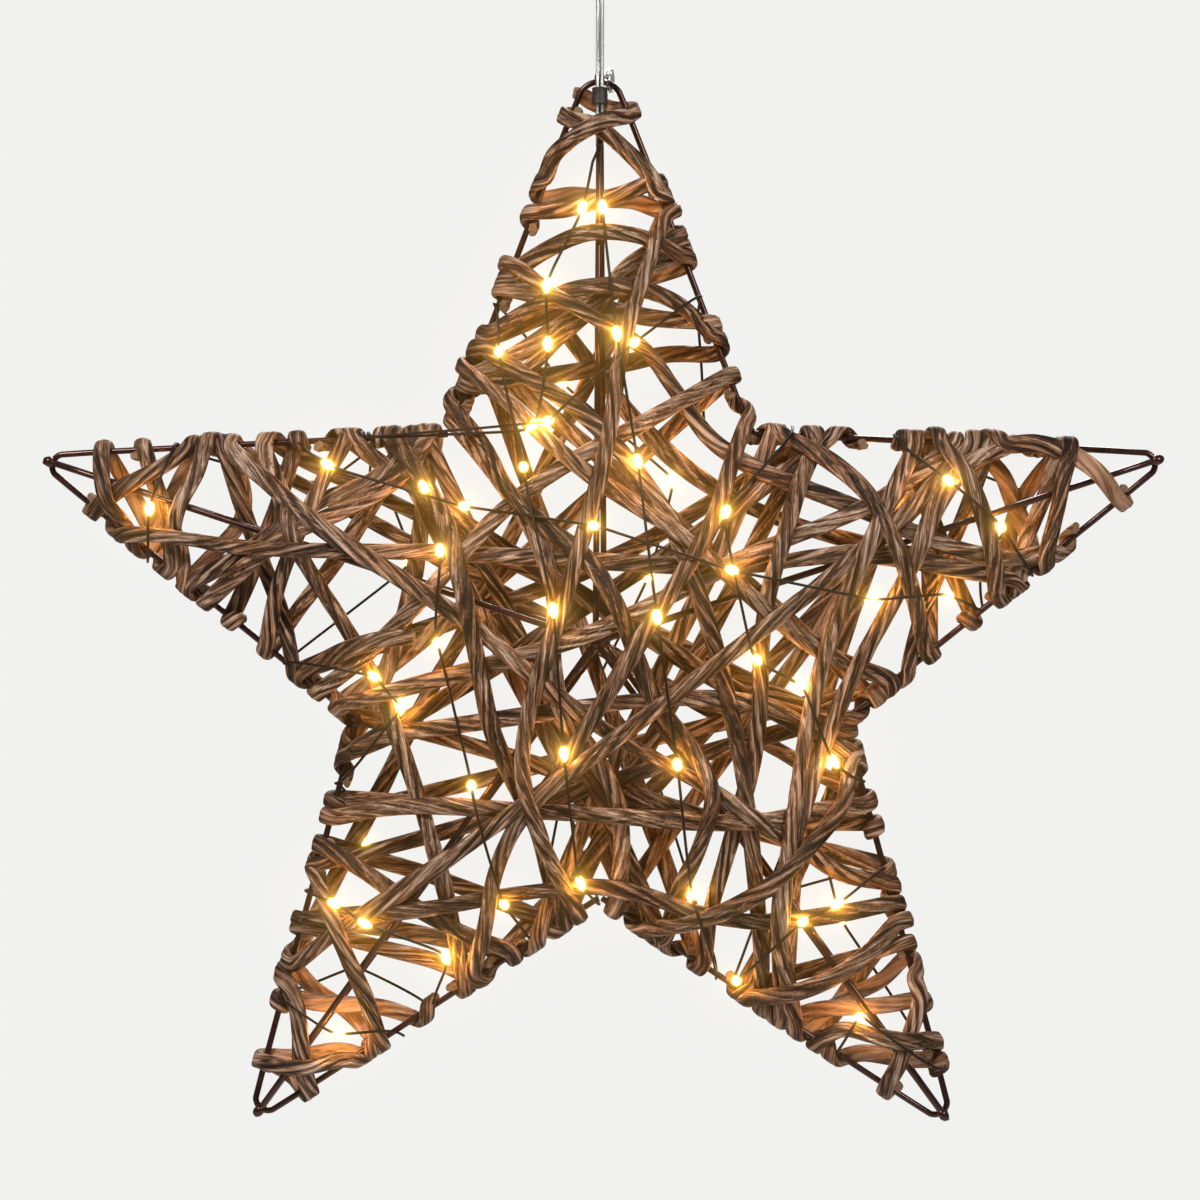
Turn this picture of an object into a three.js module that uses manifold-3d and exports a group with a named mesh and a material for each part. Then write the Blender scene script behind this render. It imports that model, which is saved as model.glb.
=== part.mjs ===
// A hanging star: a dark wire frame wrapped in flat wicker strands, with a string of small lights.
// Millimetres, +Z up, the front of the star faces -Y, the origin is the flat top of the ceiling fitting.
import * as THREE from "three";
import Module from "manifold-3d";

const solidTool = await Module();
solidTool.setup();
const { Manifold, Mesh: SolidMesh } = solidTool;

// Frame
const tipRadius = 302;
const notchRadius = 128;
const wireDiameter = 3.1;
const wireSides = 6;
const tipBend = 6.5;
const topBend = 12;
const notchGap = 1.4;
const ridgeRise = 45;
const ridgeAtTip = 3.6;
const ridgePastBend = 3;
const tipShortfall = 8;
const wireRoughness = 0.3;
const arcSteps = 4;

// Round rods: where the first ring starts, a way that no wire runs along, and how far a bend widens a rod
const ringStart = new THREE.Vector3(0.31, 0.94, 0.12);
const sharpestBend = 0.5;
const widestBend = 1.1;

// Hanging parts, heights measured up from the centre of the star
const starDrop = 350;
const fittingHeight = 22;
const fittingDiameter = 46;
const fittingNeck = 12;
const fittingNeckHeight = 8;
const fittingRim = 7;
const fittingShoulder = 11;
const fittingSlope = 5;
const fittingRound = 1;
const fittingSides = 16;
const cableDiameter = 4;
const cableSides = 8;
const cableSteps = 8;
const clearOpacity = 0.45;
const clearRoughness = 0.12;
const plasticRoughness = 0.5;
const cableTailLow = 246;
const cableForward = 12.4;
const cableTailForward = 14.2;
const cableAside = 0.5;
const cableInFitting = 5;
const cableTailPoints = 3;
const cableStraight = 8;
const sleeveLow = 267;
const sleeveHigh = 275;
const sleeveDiameter = 8;
const sleeveRound = 0.8;
const boreClear = 0.5;
const boreSides = 10;
const straightPast = 2.5;
const loopWire = 2;

// Wicker strands
const strandWidth = 8.4;
const strandThick = 2.4;
const strandRoughness = 0.7;
const strandClear = 0.9;
const ringStep = 26;
const fewestSpans = 4;
const curveTension = 0.5;
const freeEndFrom = 1;
const parallelBelow = 1e-9;
const edgeLift = 4.5;
const wrapSpacing = 0.8;
const wrapStack = 3.6;
const rimSlope = 0.48;
const slopeAllowance = 1.12;
const domeRound = 40;
const normalSpan = 7;
const snapReach = 12;
const besideMargin = 0.6;
const linkMargin = 4;
const tightRounds = 10;
const innerGap = 1.9;
const innerSpans = 4;
const innerRamp = 110;

// Light string
const cordDiameter = 1.2;
const bulbDiameter = 4.4;
const bulbHalfLength = 3.3;
const cordSides = 3;
const cordStep = 36;
const cordClear = 1;

const colours = {
  wire: 0x2a1414,
  strand: 0x7a5a42,
  clear: 0xe6ebe8,
  black: 0x1c1613,
  fitting: 0xf2f2ef,
  cord: 0x15120f,
};

const group = new THREE.Group();
group.name = "lighted_star_ornament";

// The outline: ten straight edges between five tips and five notches, in the order of the clock.
function clockPoint(radius, step) {
  const turn = (step * Math.PI) / 5;
  return [radius * Math.sin(turn), radius * Math.cos(turn)];
}

const corners = [];
for (let step = 0; step < 10; step += 1) {
  corners.push(clockPoint(step % 2 === 0 ? tipRadius : notchRadius, step));
}

const edges = corners.map((start, index) => {
  const end = corners[(index + 1) % 10];
  const length = Math.hypot(end[0] - start[0], end[1] - start[1]);
  const along = [(end[0] - start[0]) / length, (end[1] - start[1]) / length];
  return { start, length, along, outward: [-along[1], along[0]] };
});

function nearestEdge(x, z) {
  let best = { distance: Infinity };
  for (const edge of edges) {
    const reach = (x - edge.start[0]) * edge.along[0] + (z - edge.start[1]) * edge.along[1];
    const kept = Math.min(Math.max(reach, 0), edge.length);
    const foot = [edge.start[0] + kept * edge.along[0], edge.start[1] + kept * edge.along[1]];
    const distance = Math.hypot(x - foot[0], z - foot[1]);
    if (distance < best.distance) {
      best = { distance, foot, edge };
    }
  }
  return best;
}

// Height of the frame's face over its middle plane: a low dome over the ridges that falls to the outline.
const tipReach = tipRadius - tipShortfall;
const domeSlope = (ridgeRise - ridgeAtTip) / (Math.hypot(tipReach, domeRound) - domeRound);

function frameRise(x, z) {
  const out = Math.hypot(x, z);
  const dome = ridgeRise - domeSlope * (Math.hypot(out, domeRound) - domeRound);
  return Math.max(0, Math.min(dome, rimSlope * nearestEdge(x, z).distance));
}

// Outward direction of that face, measured over a short span so that its creases are eased.
function frameUp(x, z, side) {
  const slopeX = (frameRise(x + normalSpan, z) - frameRise(x - normalSpan, z)) / (2 * normalSpan);
  const slopeZ = (frameRise(x, z + normalSpan) - frameRise(x, z - normalSpan)) / (2 * normalSpan);
  return new THREE.Vector3(-slopeX, side, -slopeZ).normalize();
}

// A solid skin through a row of rings. Each ring has its corner points in the same order.
function skin(rings) {
  const sides = rings[0].length;
  const positions = [];
  for (const ring of rings) {
    for (const corner of ring) {
      positions.push(corner.x, corner.y, corner.z);
    }
  }
  const index = [];
  for (let row = 0; row + 1 < rings.length; row += 1) {
    for (let side = 0; side < sides; side += 1) {
      const next = (side + 1) % sides;
      const low = row * sides;
      const high = low + sides;
      index.push(low + side, low + next, high + next);
      index.push(low + side, high + next, high + side);
    }
  }
  const last = (rings.length - 1) * sides;
  for (let side = 1; side + 1 < sides; side += 1) {
    index.push(0, side + 1, side);
    index.push(last, last + side, last + side + 1);
  }
  const geometry = new THREE.BufferGeometry();
  geometry.setAttribute("position", new THREE.Float32BufferAttribute(positions, 3));
  geometry.setIndex(index);
  return geometry;
}

function directions(points) {
  return points.map((point, at) => {
    const before = points[Math.max(at - 1, 0)];
    const after = points[Math.min(at + 1, points.length - 1)];
    return after.clone().sub(before).normalize();
  });
}

// A round rod through points, its rings turned from the one before so that it doesn't twist.
function rod(points, diameters, sides) {
  const headings = directions(points);
  let across = ringStart;
  const rings = points.map((point, at) => {
    const heading = headings[at];
    across = across.clone().addScaledVector(heading, -across.dot(heading)).normalize();
    const upward = heading.clone().cross(across);
    const before = points[Math.max(at - 1, 0)].clone().sub(point).normalize();
    const after = points[Math.min(at + 1, points.length - 1)].clone().sub(point).normalize();
    const inner = at > 0 && at + 1 < points.length ? before.dot(after) : -1;
    const widened = Math.min(widestBend, 1 / Math.max(sharpestBend, Math.sqrt((1 - inner) / 2)));
    const radius = ((Array.isArray(diameters) ? diameters[at] : diameters) / 2) * widened;
    const ring = [];
    for (let side = 0; side < sides; side += 1) {
      const turn = (side * 2 * Math.PI) / sides;
      const spot = point.clone().addScaledVector(across, radius * Math.cos(turn));
      ring.push(spot.addScaledVector(upward, radius * Math.sin(turn)));
    }
    return ring;
  });
  return skin(rings);
}

function add(name, geometry, colour, roughness, opacity = 1) {
  const settings = { color: colour, roughness };
  if (opacity < 1) {
    settings.transparent = true;
    settings.opacity = opacity;
  }
  const mesh = new THREE.Mesh(geometry, new THREE.MeshStandardMaterial(settings));
  mesh.name = name;
  mesh.position.z = -starDrop;
  group.add(mesh);
}

// Outline wire of each point: a leg from a notch, the bend at the tip, and a leg to the next notch.
const pointNames = ["top", "right", "lower_right", "lower_left", "left"];

pointNames.forEach((name, arm) => {
  const step = arm * 2;
  const tip = corners[step];
  const bend = name === "top" ? topBend : tipBend;
  const legs = [corners[(step + 9) % 10], corners[(step + 1) % 10]].map((notch) => {
    const length = Math.hypot(notch[0] - tip[0], notch[1] - tip[1]);
    return { notch, unit: [(notch[0] - tip[0]) / length, (notch[1] - tip[1]) / length] };
  });
  const inward = [-tip[0] / tipRadius, -tip[1] / tipRadius];
  const halfAngle = Math.acos(legs[0].unit[0] * inward[0] + legs[0].unit[1] * inward[1]);
  const centreOut = bend / Math.sin(halfAngle);
  const centre = [tip[0] + inward[0] * centreOut, tip[1] + inward[1] * centreOut];
  const points = [];
  const start = legs[0].notch;
  points.push([start[0] - legs[0].unit[0] * notchGap, start[1] - legs[0].unit[1] * notchGap]);
  const sweep = Math.PI / 2 - halfAngle;
  const outTurn = Math.atan2(-inward[1], -inward[0]);
  for (let part = 0; part <= arcSteps; part += 1) {
    const turn = outTurn + sweep - (2 * sweep * part) / arcSteps;
    points.push([centre[0] + bend * Math.cos(turn), centre[1] + bend * Math.sin(turn)]);
  }
  const end = legs[1].notch;
  points.push([end[0] - legs[1].unit[0] * notchGap, end[1] - legs[1].unit[1] * notchGap]);
  const path = points.map(([x, z]) => new THREE.Vector3(x, 0, z));
  add(`outline_${name}`, rod(path, wireDiameter, wireSides), colours.wire, wireRoughness);
});

// Five ridge wires meet over the centre, in front and behind, and are welded into one spider each.
function toSolid(geometry) {
  const mesh = new SolidMesh({
    numProp: 3,
    vertProperties: new Float32Array(geometry.getAttribute("position").array),
    triVerts: new Uint32Array(geometry.getIndex().array),
  });
  return new Manifold(mesh);
}

function toGeometry(solid) {
  const mesh = solid.getMesh();
  const geometry = new THREE.BufferGeometry();
  const positions = [];
  for (let at = 0; at < mesh.vertProperties.length; at += mesh.numProp) {
    positions.push(mesh.vertProperties[at], mesh.vertProperties[at + 1], mesh.vertProperties[at + 2]);
  }
  geometry.setAttribute("position", new THREE.Float32BufferAttribute(positions, 3));
  geometry.setIndex(Array.from(mesh.triVerts));
  return geometry;
}

for (const [side, name] of [[-1, "ridges_front"], [1, "ridges_back"]]) {
  let spider = null;
  pointNames.forEach((pointName, arm) => {
    const bend = pointName === "top" ? topBend : tipBend;
    const halfAngle = Math.atan2(
      notchRadius * Math.sin(Math.PI / 5),
      tipRadius - notchRadius * Math.cos(Math.PI / 5),
    );
    const apex = tipRadius - bend / Math.sin(halfAngle) + bend + ridgePastBend;
    const [x, z] = clockPoint(apex, arm * 2);
    const wire = rod(
      [new THREE.Vector3(x, side * ridgeAtTip, z), new THREE.Vector3(0, side * ridgeRise, 0)],
      wireDiameter,
      wireSides,
    );
    const solid = toSolid(wire);
    spider = spider ? spider.add(solid) : solid;
  });
  add(name, toGeometry(spider), colours.wire, wireRoughness);
}

// The hanging cable, the black sleeve on it, and the clear loop that ties it to the top bend.
const cablePath = [
  new THREE.Vector3(cableAside, -cableTailForward, cableTailLow),
  new THREE.Vector3(cableAside, -cableForward, sleeveLow - straightPast),
  new THREE.Vector3(cableAside, -cableForward, sleeveHigh + straightPast),
  new THREE.Vector3(0, 0, starDrop - fittingHeight - cableStraight),
  new THREE.Vector3(0, 0, starDrop - fittingHeight + cableInFitting),
];
const cableSection = new THREE.Shape();
for (let side = 0; side < cableSides; side += 1) {
  const turn = (side * 2 * Math.PI) / cableSides;
  const spot = [(cableDiameter / 2) * Math.cos(turn), (cableDiameter / 2) * Math.sin(turn)];
  if (side === 0) {
    cableSection.moveTo(...spot);
  } else {
    cableSection.lineTo(...spot);
  }
}
const cableGeometry = new THREE.ExtrudeGeometry(cableSection, {
  steps: cableSteps,
  bevelEnabled: false,
  extrudePath: new THREE.CatmullRomCurve3(cablePath),
});
add("clear_cable", cableGeometry, colours.clear, clearRoughness, clearOpacity);

// Closed skin of a turned piece: the seam and the poles are welded into one set of corners.
function turned(profile, segments) {
  const rings = [];
  for (const [radius, height] of profile) {
    const ring = [];
    for (let part = 0; part < segments; part += 1) {
      const turn = (part * 2 * Math.PI) / segments;
      ring.push(new THREE.Vector3(radius * Math.cos(turn), radius * Math.sin(turn), height));
    }
    rings.push(ring);
  }
  return skin(rings);
}

const sleeveBore = cableDiameter / 2 + boreClear;
const sleeve = toSolid(turned([
  [sleeveDiameter / 2 - sleeveRound, sleeveLow],
  [sleeveDiameter / 2, sleeveLow + sleeveRound],
  [sleeveDiameter / 2, sleeveHigh - sleeveRound],
  [sleeveDiameter / 2 - sleeveRound, sleeveHigh],
], boreSides));
const sleeveHole = toSolid(turned([
  [sleeveBore, sleeveLow - straightPast],
  [sleeveBore, sleeveHigh + straightPast],
], boreSides));
const sleeveBody = toGeometry(sleeve.subtract(sleeveHole));
sleeveBody.translate(cableAside, -cableForward, 0);
add("cable_sleeve", sleeveBody, colours.black, plasticRoughness);

const loopPath = [
  [3.2, -11.5, 278.5],
  [4.6, -7.5, 283],
  [5.6, -1, 285.2],
  [6, 4.6, 282.5],
  [6, 5, 277],
  [5.6, 0.5, 274.6],
  [5, -5, 275.4],
  [4.2, -9.4, 276.4],
].map(([x, y, z]) => new THREE.Vector3(x, y, z));
add("cable_loop", rod(loopPath, loopWire, wireSides), colours.clear, clearRoughness, clearOpacity);

const fittingLow = starDrop - fittingHeight;
const fitting = toSolid(turned([
  [fittingNeck / 2 - fittingRound, fittingLow],
  [fittingNeck / 2, fittingLow + fittingRound],
  [fittingNeck / 2, fittingLow + fittingNeckHeight],
  [fittingDiameter / 2 - fittingSlope, starDrop - fittingShoulder],
  [fittingDiameter / 2, starDrop - fittingRim],
  [fittingDiameter / 2, starDrop],
], fittingSides));
const fittingHole = toSolid(turned([
  [sleeveBore, fittingLow - straightPast],
  [sleeveBore, fittingLow + cableInFitting + boreClear],
], boreSides));
add("ceiling_fitting", toGeometry(fitting.subtract(fittingHole)), colours.fitting, plasticRoughness);

// Where the strands run. Each row starts where the strand turns over the outline wire and lists the points it
// passes on one face; rows take the front and the back in turn, and a last row of one point is the end.
const strandRoutes = {
  strand_top_tip: [
    [[-15.5, 262], [4.5, 251.5], [25, 232.5]],
    [[32, 220]],
    [[-30, 226.5], [-22.5, 242.5], [-1, 255.5]],
    [[15.5, 264.5]],
    [[-11, 273]],
  ],
  strand_top_arm: [
    [[36, 202], [19.5, 190.5], [2.5, 169.5], [-15.5, 154], [-45, 128]],
    [[-66, 127.5]],
    [[57, 148], [42, 166.5], [5.5, 176], [-31, 166.5]],
    [[-56.5, 153]],
    [[41, 189.5], [15, 202], [-18.5, 199]],
    [[-45, 178]],
  ],
  strand_left_arm: [
    [[-254, 67], [-231, 80.5], [-218, 88]],
    [[-204, 99]],
    [[-232, 47.5], [-246, 71]],
    [[-249.5, 95.5]],
    [[-218, 38], [-209, 67], [-198.5, 89]],
    [[-195, 101], [-180, 70]],
    [[-207, 29.5], [-175.5, 44], [-137, 70], [-115, 78]],
    [[-93.5, 103]],
    [[-165.5, -2], [-158.5, 30.5], [-145, 58], [-138, 77]],
    [[-124.5, 101.5]],
  ],
  strand_left_body: [
    [[-197, 21.5], [-155.5, 50], [-127.5, 64], [-102.5, 79]],
    [[-84, 103.3], [-104, 0]],
    [[-125, -50], [-50.5, -38.5], [23.5, -28.5], [71.5, -29.5]],
    [[124, -44]],
    [[-165.5, 99], [-146.5, 43], [-117, -8], [-96, -57.5], [-76, -119.5]],
    [[-69, -172]],
  ],
  strand_back_layer: [
    [[-241, 57], [-166, 46], [-80, 44], [-10, 40], [70, 37], [131, 43]],
    [[208, 30], [55, 78]],
    [[-43, 187], [-11.5, 164.5], [24.5, 143], [61, 95.5], [124.5, 67.5], [176, 46], [216, 41]],
    [[229, 47]],
  ],
  strand_body_one: [
    [[-72, 111.5], [-35.5, 60], [-20.5, 28], [-19.5, -24.5], [4.5, -64], [12, -95.5]],
    [[8, -133]],
    [[177, 99], [136.5, 68.5], [76.5, 43], [1, 5.5], [-55, -12]],
    [[-131, -33]],
    [[63.5, 131.5], [18.5, 105.5], [-38.5, 71.5], [-83.5, 23.5], [-126.5, -16.5]],
    [[-141, -24]],
  ],
  strand_body_two: [
    [[-89.5, 2], [-110.5, 0.5], [-123.5, -4]],
    [[-151, -15.5], [0, 40]],
    [[106, 100], [95.5, 63], [82, 10.5], [78, -52.5], [58, -124.5]],
    [[50, -160], [-10, 0]],
    [[-60, 144.5], [-27, 126], [2.5, 103.5], [35.5, 60], [57.5, 0.5], [72, -67], [78, -120]],
    [[82, -183]],
  ],
  strand_body_three: [
    [[-63, 136], [-11, 88], [47, 48], [95.5, 5.5]],
    [[143.5, -23]],
    [[-139.5, -87], [-84, -81], [-5.5, -85], [69.5, -88.5]],
    [[134, -79]],
    [[-185.5, 100.5], [-138, 58], [-64.5, 10.5], [0, -40], [60, -74.5], [129, -120]],
    [[146, -122]],
  ],
  strand_body_four: [
    [[-69, 119.5], [-40.5, 70.5], [2.5, 33], [29, -28.5], [54, -63], [54, -91]],
    [[29, -147]],
    [[-103, 101.5], [-76, 62], [-62.5, 15], [-50.5, -45], [-29, -93.5]],
    [[-21, -142]],
    [[-144, -101], [-119, -113], [-74, -140.5]],
    [[-44, -157]],
    [[-153.5, -138.5], [-79, -131], [0, -122], [69.5, -137.5]],
    [[148.5, -131]],
  ],
  strand_body_five: [
    [[71, 113], [57.5, 60], [24, 3.5], [-15.5, -59.5], [-47.5, -105]],
    [[-60, -167]],
    [[186, 98], [141.5, 53.5], [71.5, -1], [-12, -63.5], [-99, -124.5]],
    [[-160.5, -157]],
    [[27, 211], [12.5, 145], [5, 93], [-15, 20], [-34, -43], [-32.5, -80]],
    [[-12, -136]],
  ],
  strand_right_body: [
    [[208.5, 101], [176, 82], [151, 29.5], [123, -24], [104, -74.5], [90.5, -124.5]],
    [[91, -187], [108, -45]],
    [[158, 98], [134, 48.5], [113, -4], [100, -63], [91, -143]],
    [[100, -193]],
    [[154.5, -162], [160, -175.5], [152.5, -199.5]],
    [[144, -222]],
  ],
  strand_right_arm: [
    [[258, 72], [240, 89], [221, 97.5]],
    [[195, 101]],
    [[219, 40], [225.5, 58.5]],
    [[232.5, 94.5], [210.5, 70]],
    [[199, 23], [191, 58.5], [178, 89]],
    [[167, 100]],
    [[164, -5.5], [150, 39], [134, 71.5], [105, 96]],
    [[86, 103]],
  ],
  strand_lower_left: [
    [[-144, -111], [-133, -135], [-117, -173.5]],
    [[-111.5, -200]],
    [[-156.5, -167], [-149.5, -191]],
    [[-148, -224]],
    [[-170, -211], [-144.5, -212]],
    [[-121, -206]],
  ],
  strand_lower_right: [
    [[167, -199.5], [140, -195.5], [116, -192]],
    [[109, -199]],
    [[148.5, -140], [130.5, -156.5], [101.5, -172.5]],
    [[73, -176]],
    [[129.5, -53.5], [119.5, -82], [81, -122.5], [38, -141.5]],
    [[20, -141]],
  ],
};

// The light string: the points inside a row are its bulbs.
const lightRoutes = {
  light_string_middle: [
    [[1, 240], [2, 214.5], [10, 151], [20.5, 88], [30.5, 12], [40, -59], [46.5, -125.5]],
    [[59, -167], [24.5, -63], [-4.5, -21.5], [23.5, 34], [36.5, 81.5], [-20, 130]],
    [[-51, 168], [-50, 144.5], [-36, 84], [-19.5, 15.5], [-15, -54.5], [-10, -119.5]],
    [[-2, -129.3], [-20.5, -76.5]],
    [[-34, -150], [-46.5, -131.5], [-61, -72], [-79, 1.5], [-75.5, 44], [-84.5, 77]],
    [[-110, 101], [-142, 78.5], [-180.5, 87]],
    [[-213, 99], [-224.5, 66]],
    [[-225, 43]],
  ],
  light_string_left: [
    [[-3, 238], [-7.5, 214.5], [-26, 176], [-24, 146.5], [-30, 104]],
    [[-115.5, 101], [-120, 70]],
    [[-152, 98], [-134.5, 87], [-67.5, 67], [1, 56.5], [66, 35], [135.5, 20.5], [171.5, 23.5]],
    [[190, 16], [190, 38.5], [217.5, 73.5]],
    [[147, 101], [172, 80], [198, 58]],
    [[213.5, 35], [136, 68], [52, 98]],
    [[49, 172], [18.5, 147], [-24.5, 108]],
    [[-118.5, 101], [-97, 40]],
    [[-158, -10], [-110.5, -17], [-97, -33]],
    [[-131, -72], [-118.5, -104]],
    [[-148, -125], [-130, -129], [-115.5, -139], [-72.5, -156]],
    [[-85, -183], [-125, -165]],
    [[-160, -178], [-130, -196]],
    [[-101, -194]],
  ],
  light_string_right: [
    [[96, 103], [61.5, 64], [77, -9], [101.5, -22], [116, -60]],
    [[131.5, -70], [78.5, -132]],
    [[142, -112], [118.5, -130], [100.5, -137], [69, -168]],
    [[66, -171], [104, -75.5], [120, -140]],
    [[166, -213], [129.5, -184]],
    [[118, -205]],
  ],
};

// Cut the routes into passes over one face, each with evenly spaced rings.
function snapped(point) {
  const near = nearestEdge(point[0], point[1]);
  return near.distance < snapReach ? near.foot : point;
}

function strandRings(points) {
  const curve = new THREE.CatmullRomCurve3(
    points.map(([x, z]) => new THREE.Vector3(x, 0, z)), false, "catmullrom", curveTension);
  const count = Math.max(fewestSpans, Math.round(curve.getLength() / ringStep));
  const rings = [];
  for (let at = 0; at <= count; at += 1) {
    const spot = curve.getPointAt(at / count);
    rings.push({ x: spot.x, z: spot.z, thick: strandThick });
  }
  return rings;
}

function cordRings(points) {
  const rings = [{ x: points[0][0], z: points[0][1], thick: cordDiameter }];
  for (let at = 1; at < points.length; at += 1) {
    const from = points[at - 1];
    const to = points[at];
    const length = Math.hypot(to[0] - from[0], to[1] - from[1]);
    const first = at > 1 ? bulbHalfLength / length : 0;
    const isBulb = at + 1 < points.length;
    const last = isBulb ? 1 - bulbHalfLength / length : 1;
    const count = Math.max(1, Math.round((length * (last - first)) / cordStep));
    for (let part = at > 1 ? 0 : 1; part <= count; part += 1) {
      const share = first + ((last - first) * part) / count;
      const x = from[0] + (to[0] - from[0]) * share;
      const z = from[1] + (to[1] - from[1]) * share;
      rings.push({ x, z, thick: cordDiameter });
    }
    if (isBulb) {
      rings.push({ x: to[0], z: to[1], thick: bulbDiameter, bulb: true });
    }
  }
  return rings;
}

const wraps = [];

function wrapAt(point, width) {
  const near = nearestEdge(point[0], point[1]);
  const outward = near.edge.outward;
  const over = [near.foot[0] + outward[0] * edgeLift, near.foot[1] + outward[1] * edgeLift];
  const level = wraps.filter((other) => {
    const apart = Math.hypot(other.over[0] - over[0], other.over[1] - over[1]);
    return apart < (other.width + width) / 2 + wrapSpacing;
  }).length;
  const wrap = { x: near.foot[0], z: near.foot[1], outward, over, width, lift: edgeLift + level * wrapStack };
  wraps.push(wrap);
  return wrap;
}

function cutRoute(route, ringsOf, width, clear) {
  const passes = [];
  let turn = null;
  for (let row = 0; row + 1 < route.length; row += 1) {
    const points = [...route[row], route[row + 1][0]];
    points[0] = snapped(points[0]);
    points[points.length - 1] = snapped(points[points.length - 1]);
    const rings = ringsOf(points);
    const startsFree = row === 0 && nearestEdge(points[0][0], points[0][1]).distance > freeEndFrom;
    const startWrap = startsFree ? null : turn || wrapAt(points[0], width);
    const endWrap = wrapAt(points[points.length - 1], width);
    passes.push({ side: row % 2 === 0 ? -1 : 1, rings, startWrap, endWrap, width, clear });
    turn = endWrap;
  }
  return passes;
}

// Where two straight pieces cross, seen from the front, as shares along each.
function crossing(a, b, c, d) {
  const abx = b.x - a.x;
  const abz = b.z - a.z;
  const cdx = d.x - c.x;
  const cdz = d.z - c.z;
  const cross = abx * cdz - abz * cdx;
  if (Math.abs(cross) < parallelBelow) {
    return null;
  }
  const u = ((c.x - a.x) * cdz - (c.z - a.z) * cdx) / cross;
  const v = ((c.x - a.x) * abz - (c.z - a.z) * abx) / cross;
  return u >= 0 && u <= 1 && v >= 0 && v <= 1 ? { u, v } : null;
}

// Share along a straight piece that is nearest to a point, and how far off the point is.
function foot(point, from, to) {
  const dx = to.x - from.x;
  const dz = to.z - from.z;
  const reach = ((point.x - from.x) * dx + (point.z - from.z) * dz) / (dx * dx + dz * dz);
  const share = Math.min(1, Math.max(0, reach));
  return { share, off: Math.hypot(point.x - from.x - dx * share, point.z - from.z - dz * share) };
}

// Give each ring of a pass its middle and its two long edges, with how far each edge lies above the middle.
function spreadRings(pass) {
  const rings = pass.rings;
  rings.forEach((ring, at) => {
    const before = rings[Math.max(at - 1, 0)];
    const after = rings[Math.min(at + 1, rings.length - 1)];
    const length = Math.hypot(after.x - before.x, after.z - before.z);
    let across = [-(after.z - before.z) / length, (after.x - before.x) / length];
    const wrap = at === 0 ? pass.startWrap : at + 1 === rings.length ? pass.endWrap : null;
    if (wrap) {
      const along = [-wrap.outward[1], wrap.outward[0]];
      const turn = along[0] * across[0] + along[1] * across[1] < 0 ? -1 : 1;
      across = [along[0] * turn, along[1] * turn];
    }
    const up = frameUp(ring.x, ring.z, 1);
    const tilt = wrap ? 0 : -(up.x * across[0] + up.z * across[1]) / up.y;
    ring.lines = [-0.5, 0, 0.5].map((share) => {
      const out = share * pass.width;
      return { x: ring.x + across[0] * out, z: ring.z + across[1] * out, rise: tilt * out };
    });
  });
}

function linksBetween(lower, under, pass, at) {
  const [a, b] = [lower.rings[under], lower.rings[under + 1]];
  const [c, d] = [pass.rings[at], pass.rings[at + 1]];
  const reachBelow = Math.hypot(b.x - a.x, b.z - a.z);
  const reachAbove = Math.hypot(d.x - c.x, d.z - c.z);
  const apart = Math.hypot(a.x + b.x - c.x - d.x, a.z + b.z - c.z - d.z) / 2;
  if (apart > (reachBelow + reachAbove) / 2 + strandWidth + linkMargin) {
    return [];
  }
  const thickBelow = Math.max(a.thick, b.thick);
  const thickAbove = Math.max(c.thick, d.thick);
  const need = ((thickBelow + thickAbove) / 2) * slopeAllowance + pass.clear;
  const links = [];
  const link = (u, v, riseBelow, riseAbove) => {
    const height = a.height + (b.height - a.height) * u + riseBelow - riseAbove + need;
    links.push({ at, share: v, height });
  };
  for (let left = 0; left < 3; left += 1) {
    for (let right = 0; right < 3; right += 1) {
      const [la, lb] = [a.lines[left], b.lines[left]];
      const [lc, ld] = [c.lines[right], d.lines[right]];
      const met = crossing(la, lb, lc, ld);
      if (met) {
        const riseBelow = la.rise + (lb.rise - la.rise) * met.u;
        const riseAbove = lc.rise + (ld.rise - lc.rise) * met.v;
        link(met.u, met.v, riseBelow, riseAbove);
      }
    }
  }
  const near = (lower.width + pass.width) / 2 + besideMargin;
  [[c, 0], [d, 1]].forEach(([ring, share]) => {
    const spot = foot(ring, a, b);
    if (spot.off < near) {
      link(spot.share, share, 0, 0);
    }
  });
  [[a, 0], [b, 1]].forEach(([ring, share]) => {
    const spot = foot(ring, c, d);
    if (spot.off < near) {
      link(share, spot.share, 0, 0);
    }
  });
  return links;
}

// Let each ring sink as far as its rest height and the strands under it allow.
function pullTight(rings, rest, links) {
  for (let again = 0; again < tightRounds; again += 1) {
    rings.forEach((ring, at) => {
      let lowest = rest[at];
      for (const link of links) {
        const share = link.at === at ? 1 - link.share : link.at + 1 === at ? link.share : 0;
        if (share > 0) {
          const other = rings[link.at === at ? at + 1 : at - 1];
          lowest = Math.max(lowest, (link.height - (1 - share) * other.height) / share);
        }
      }
      ring.height = Math.min(ring.height, lowest);
    });
  }
}

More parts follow.
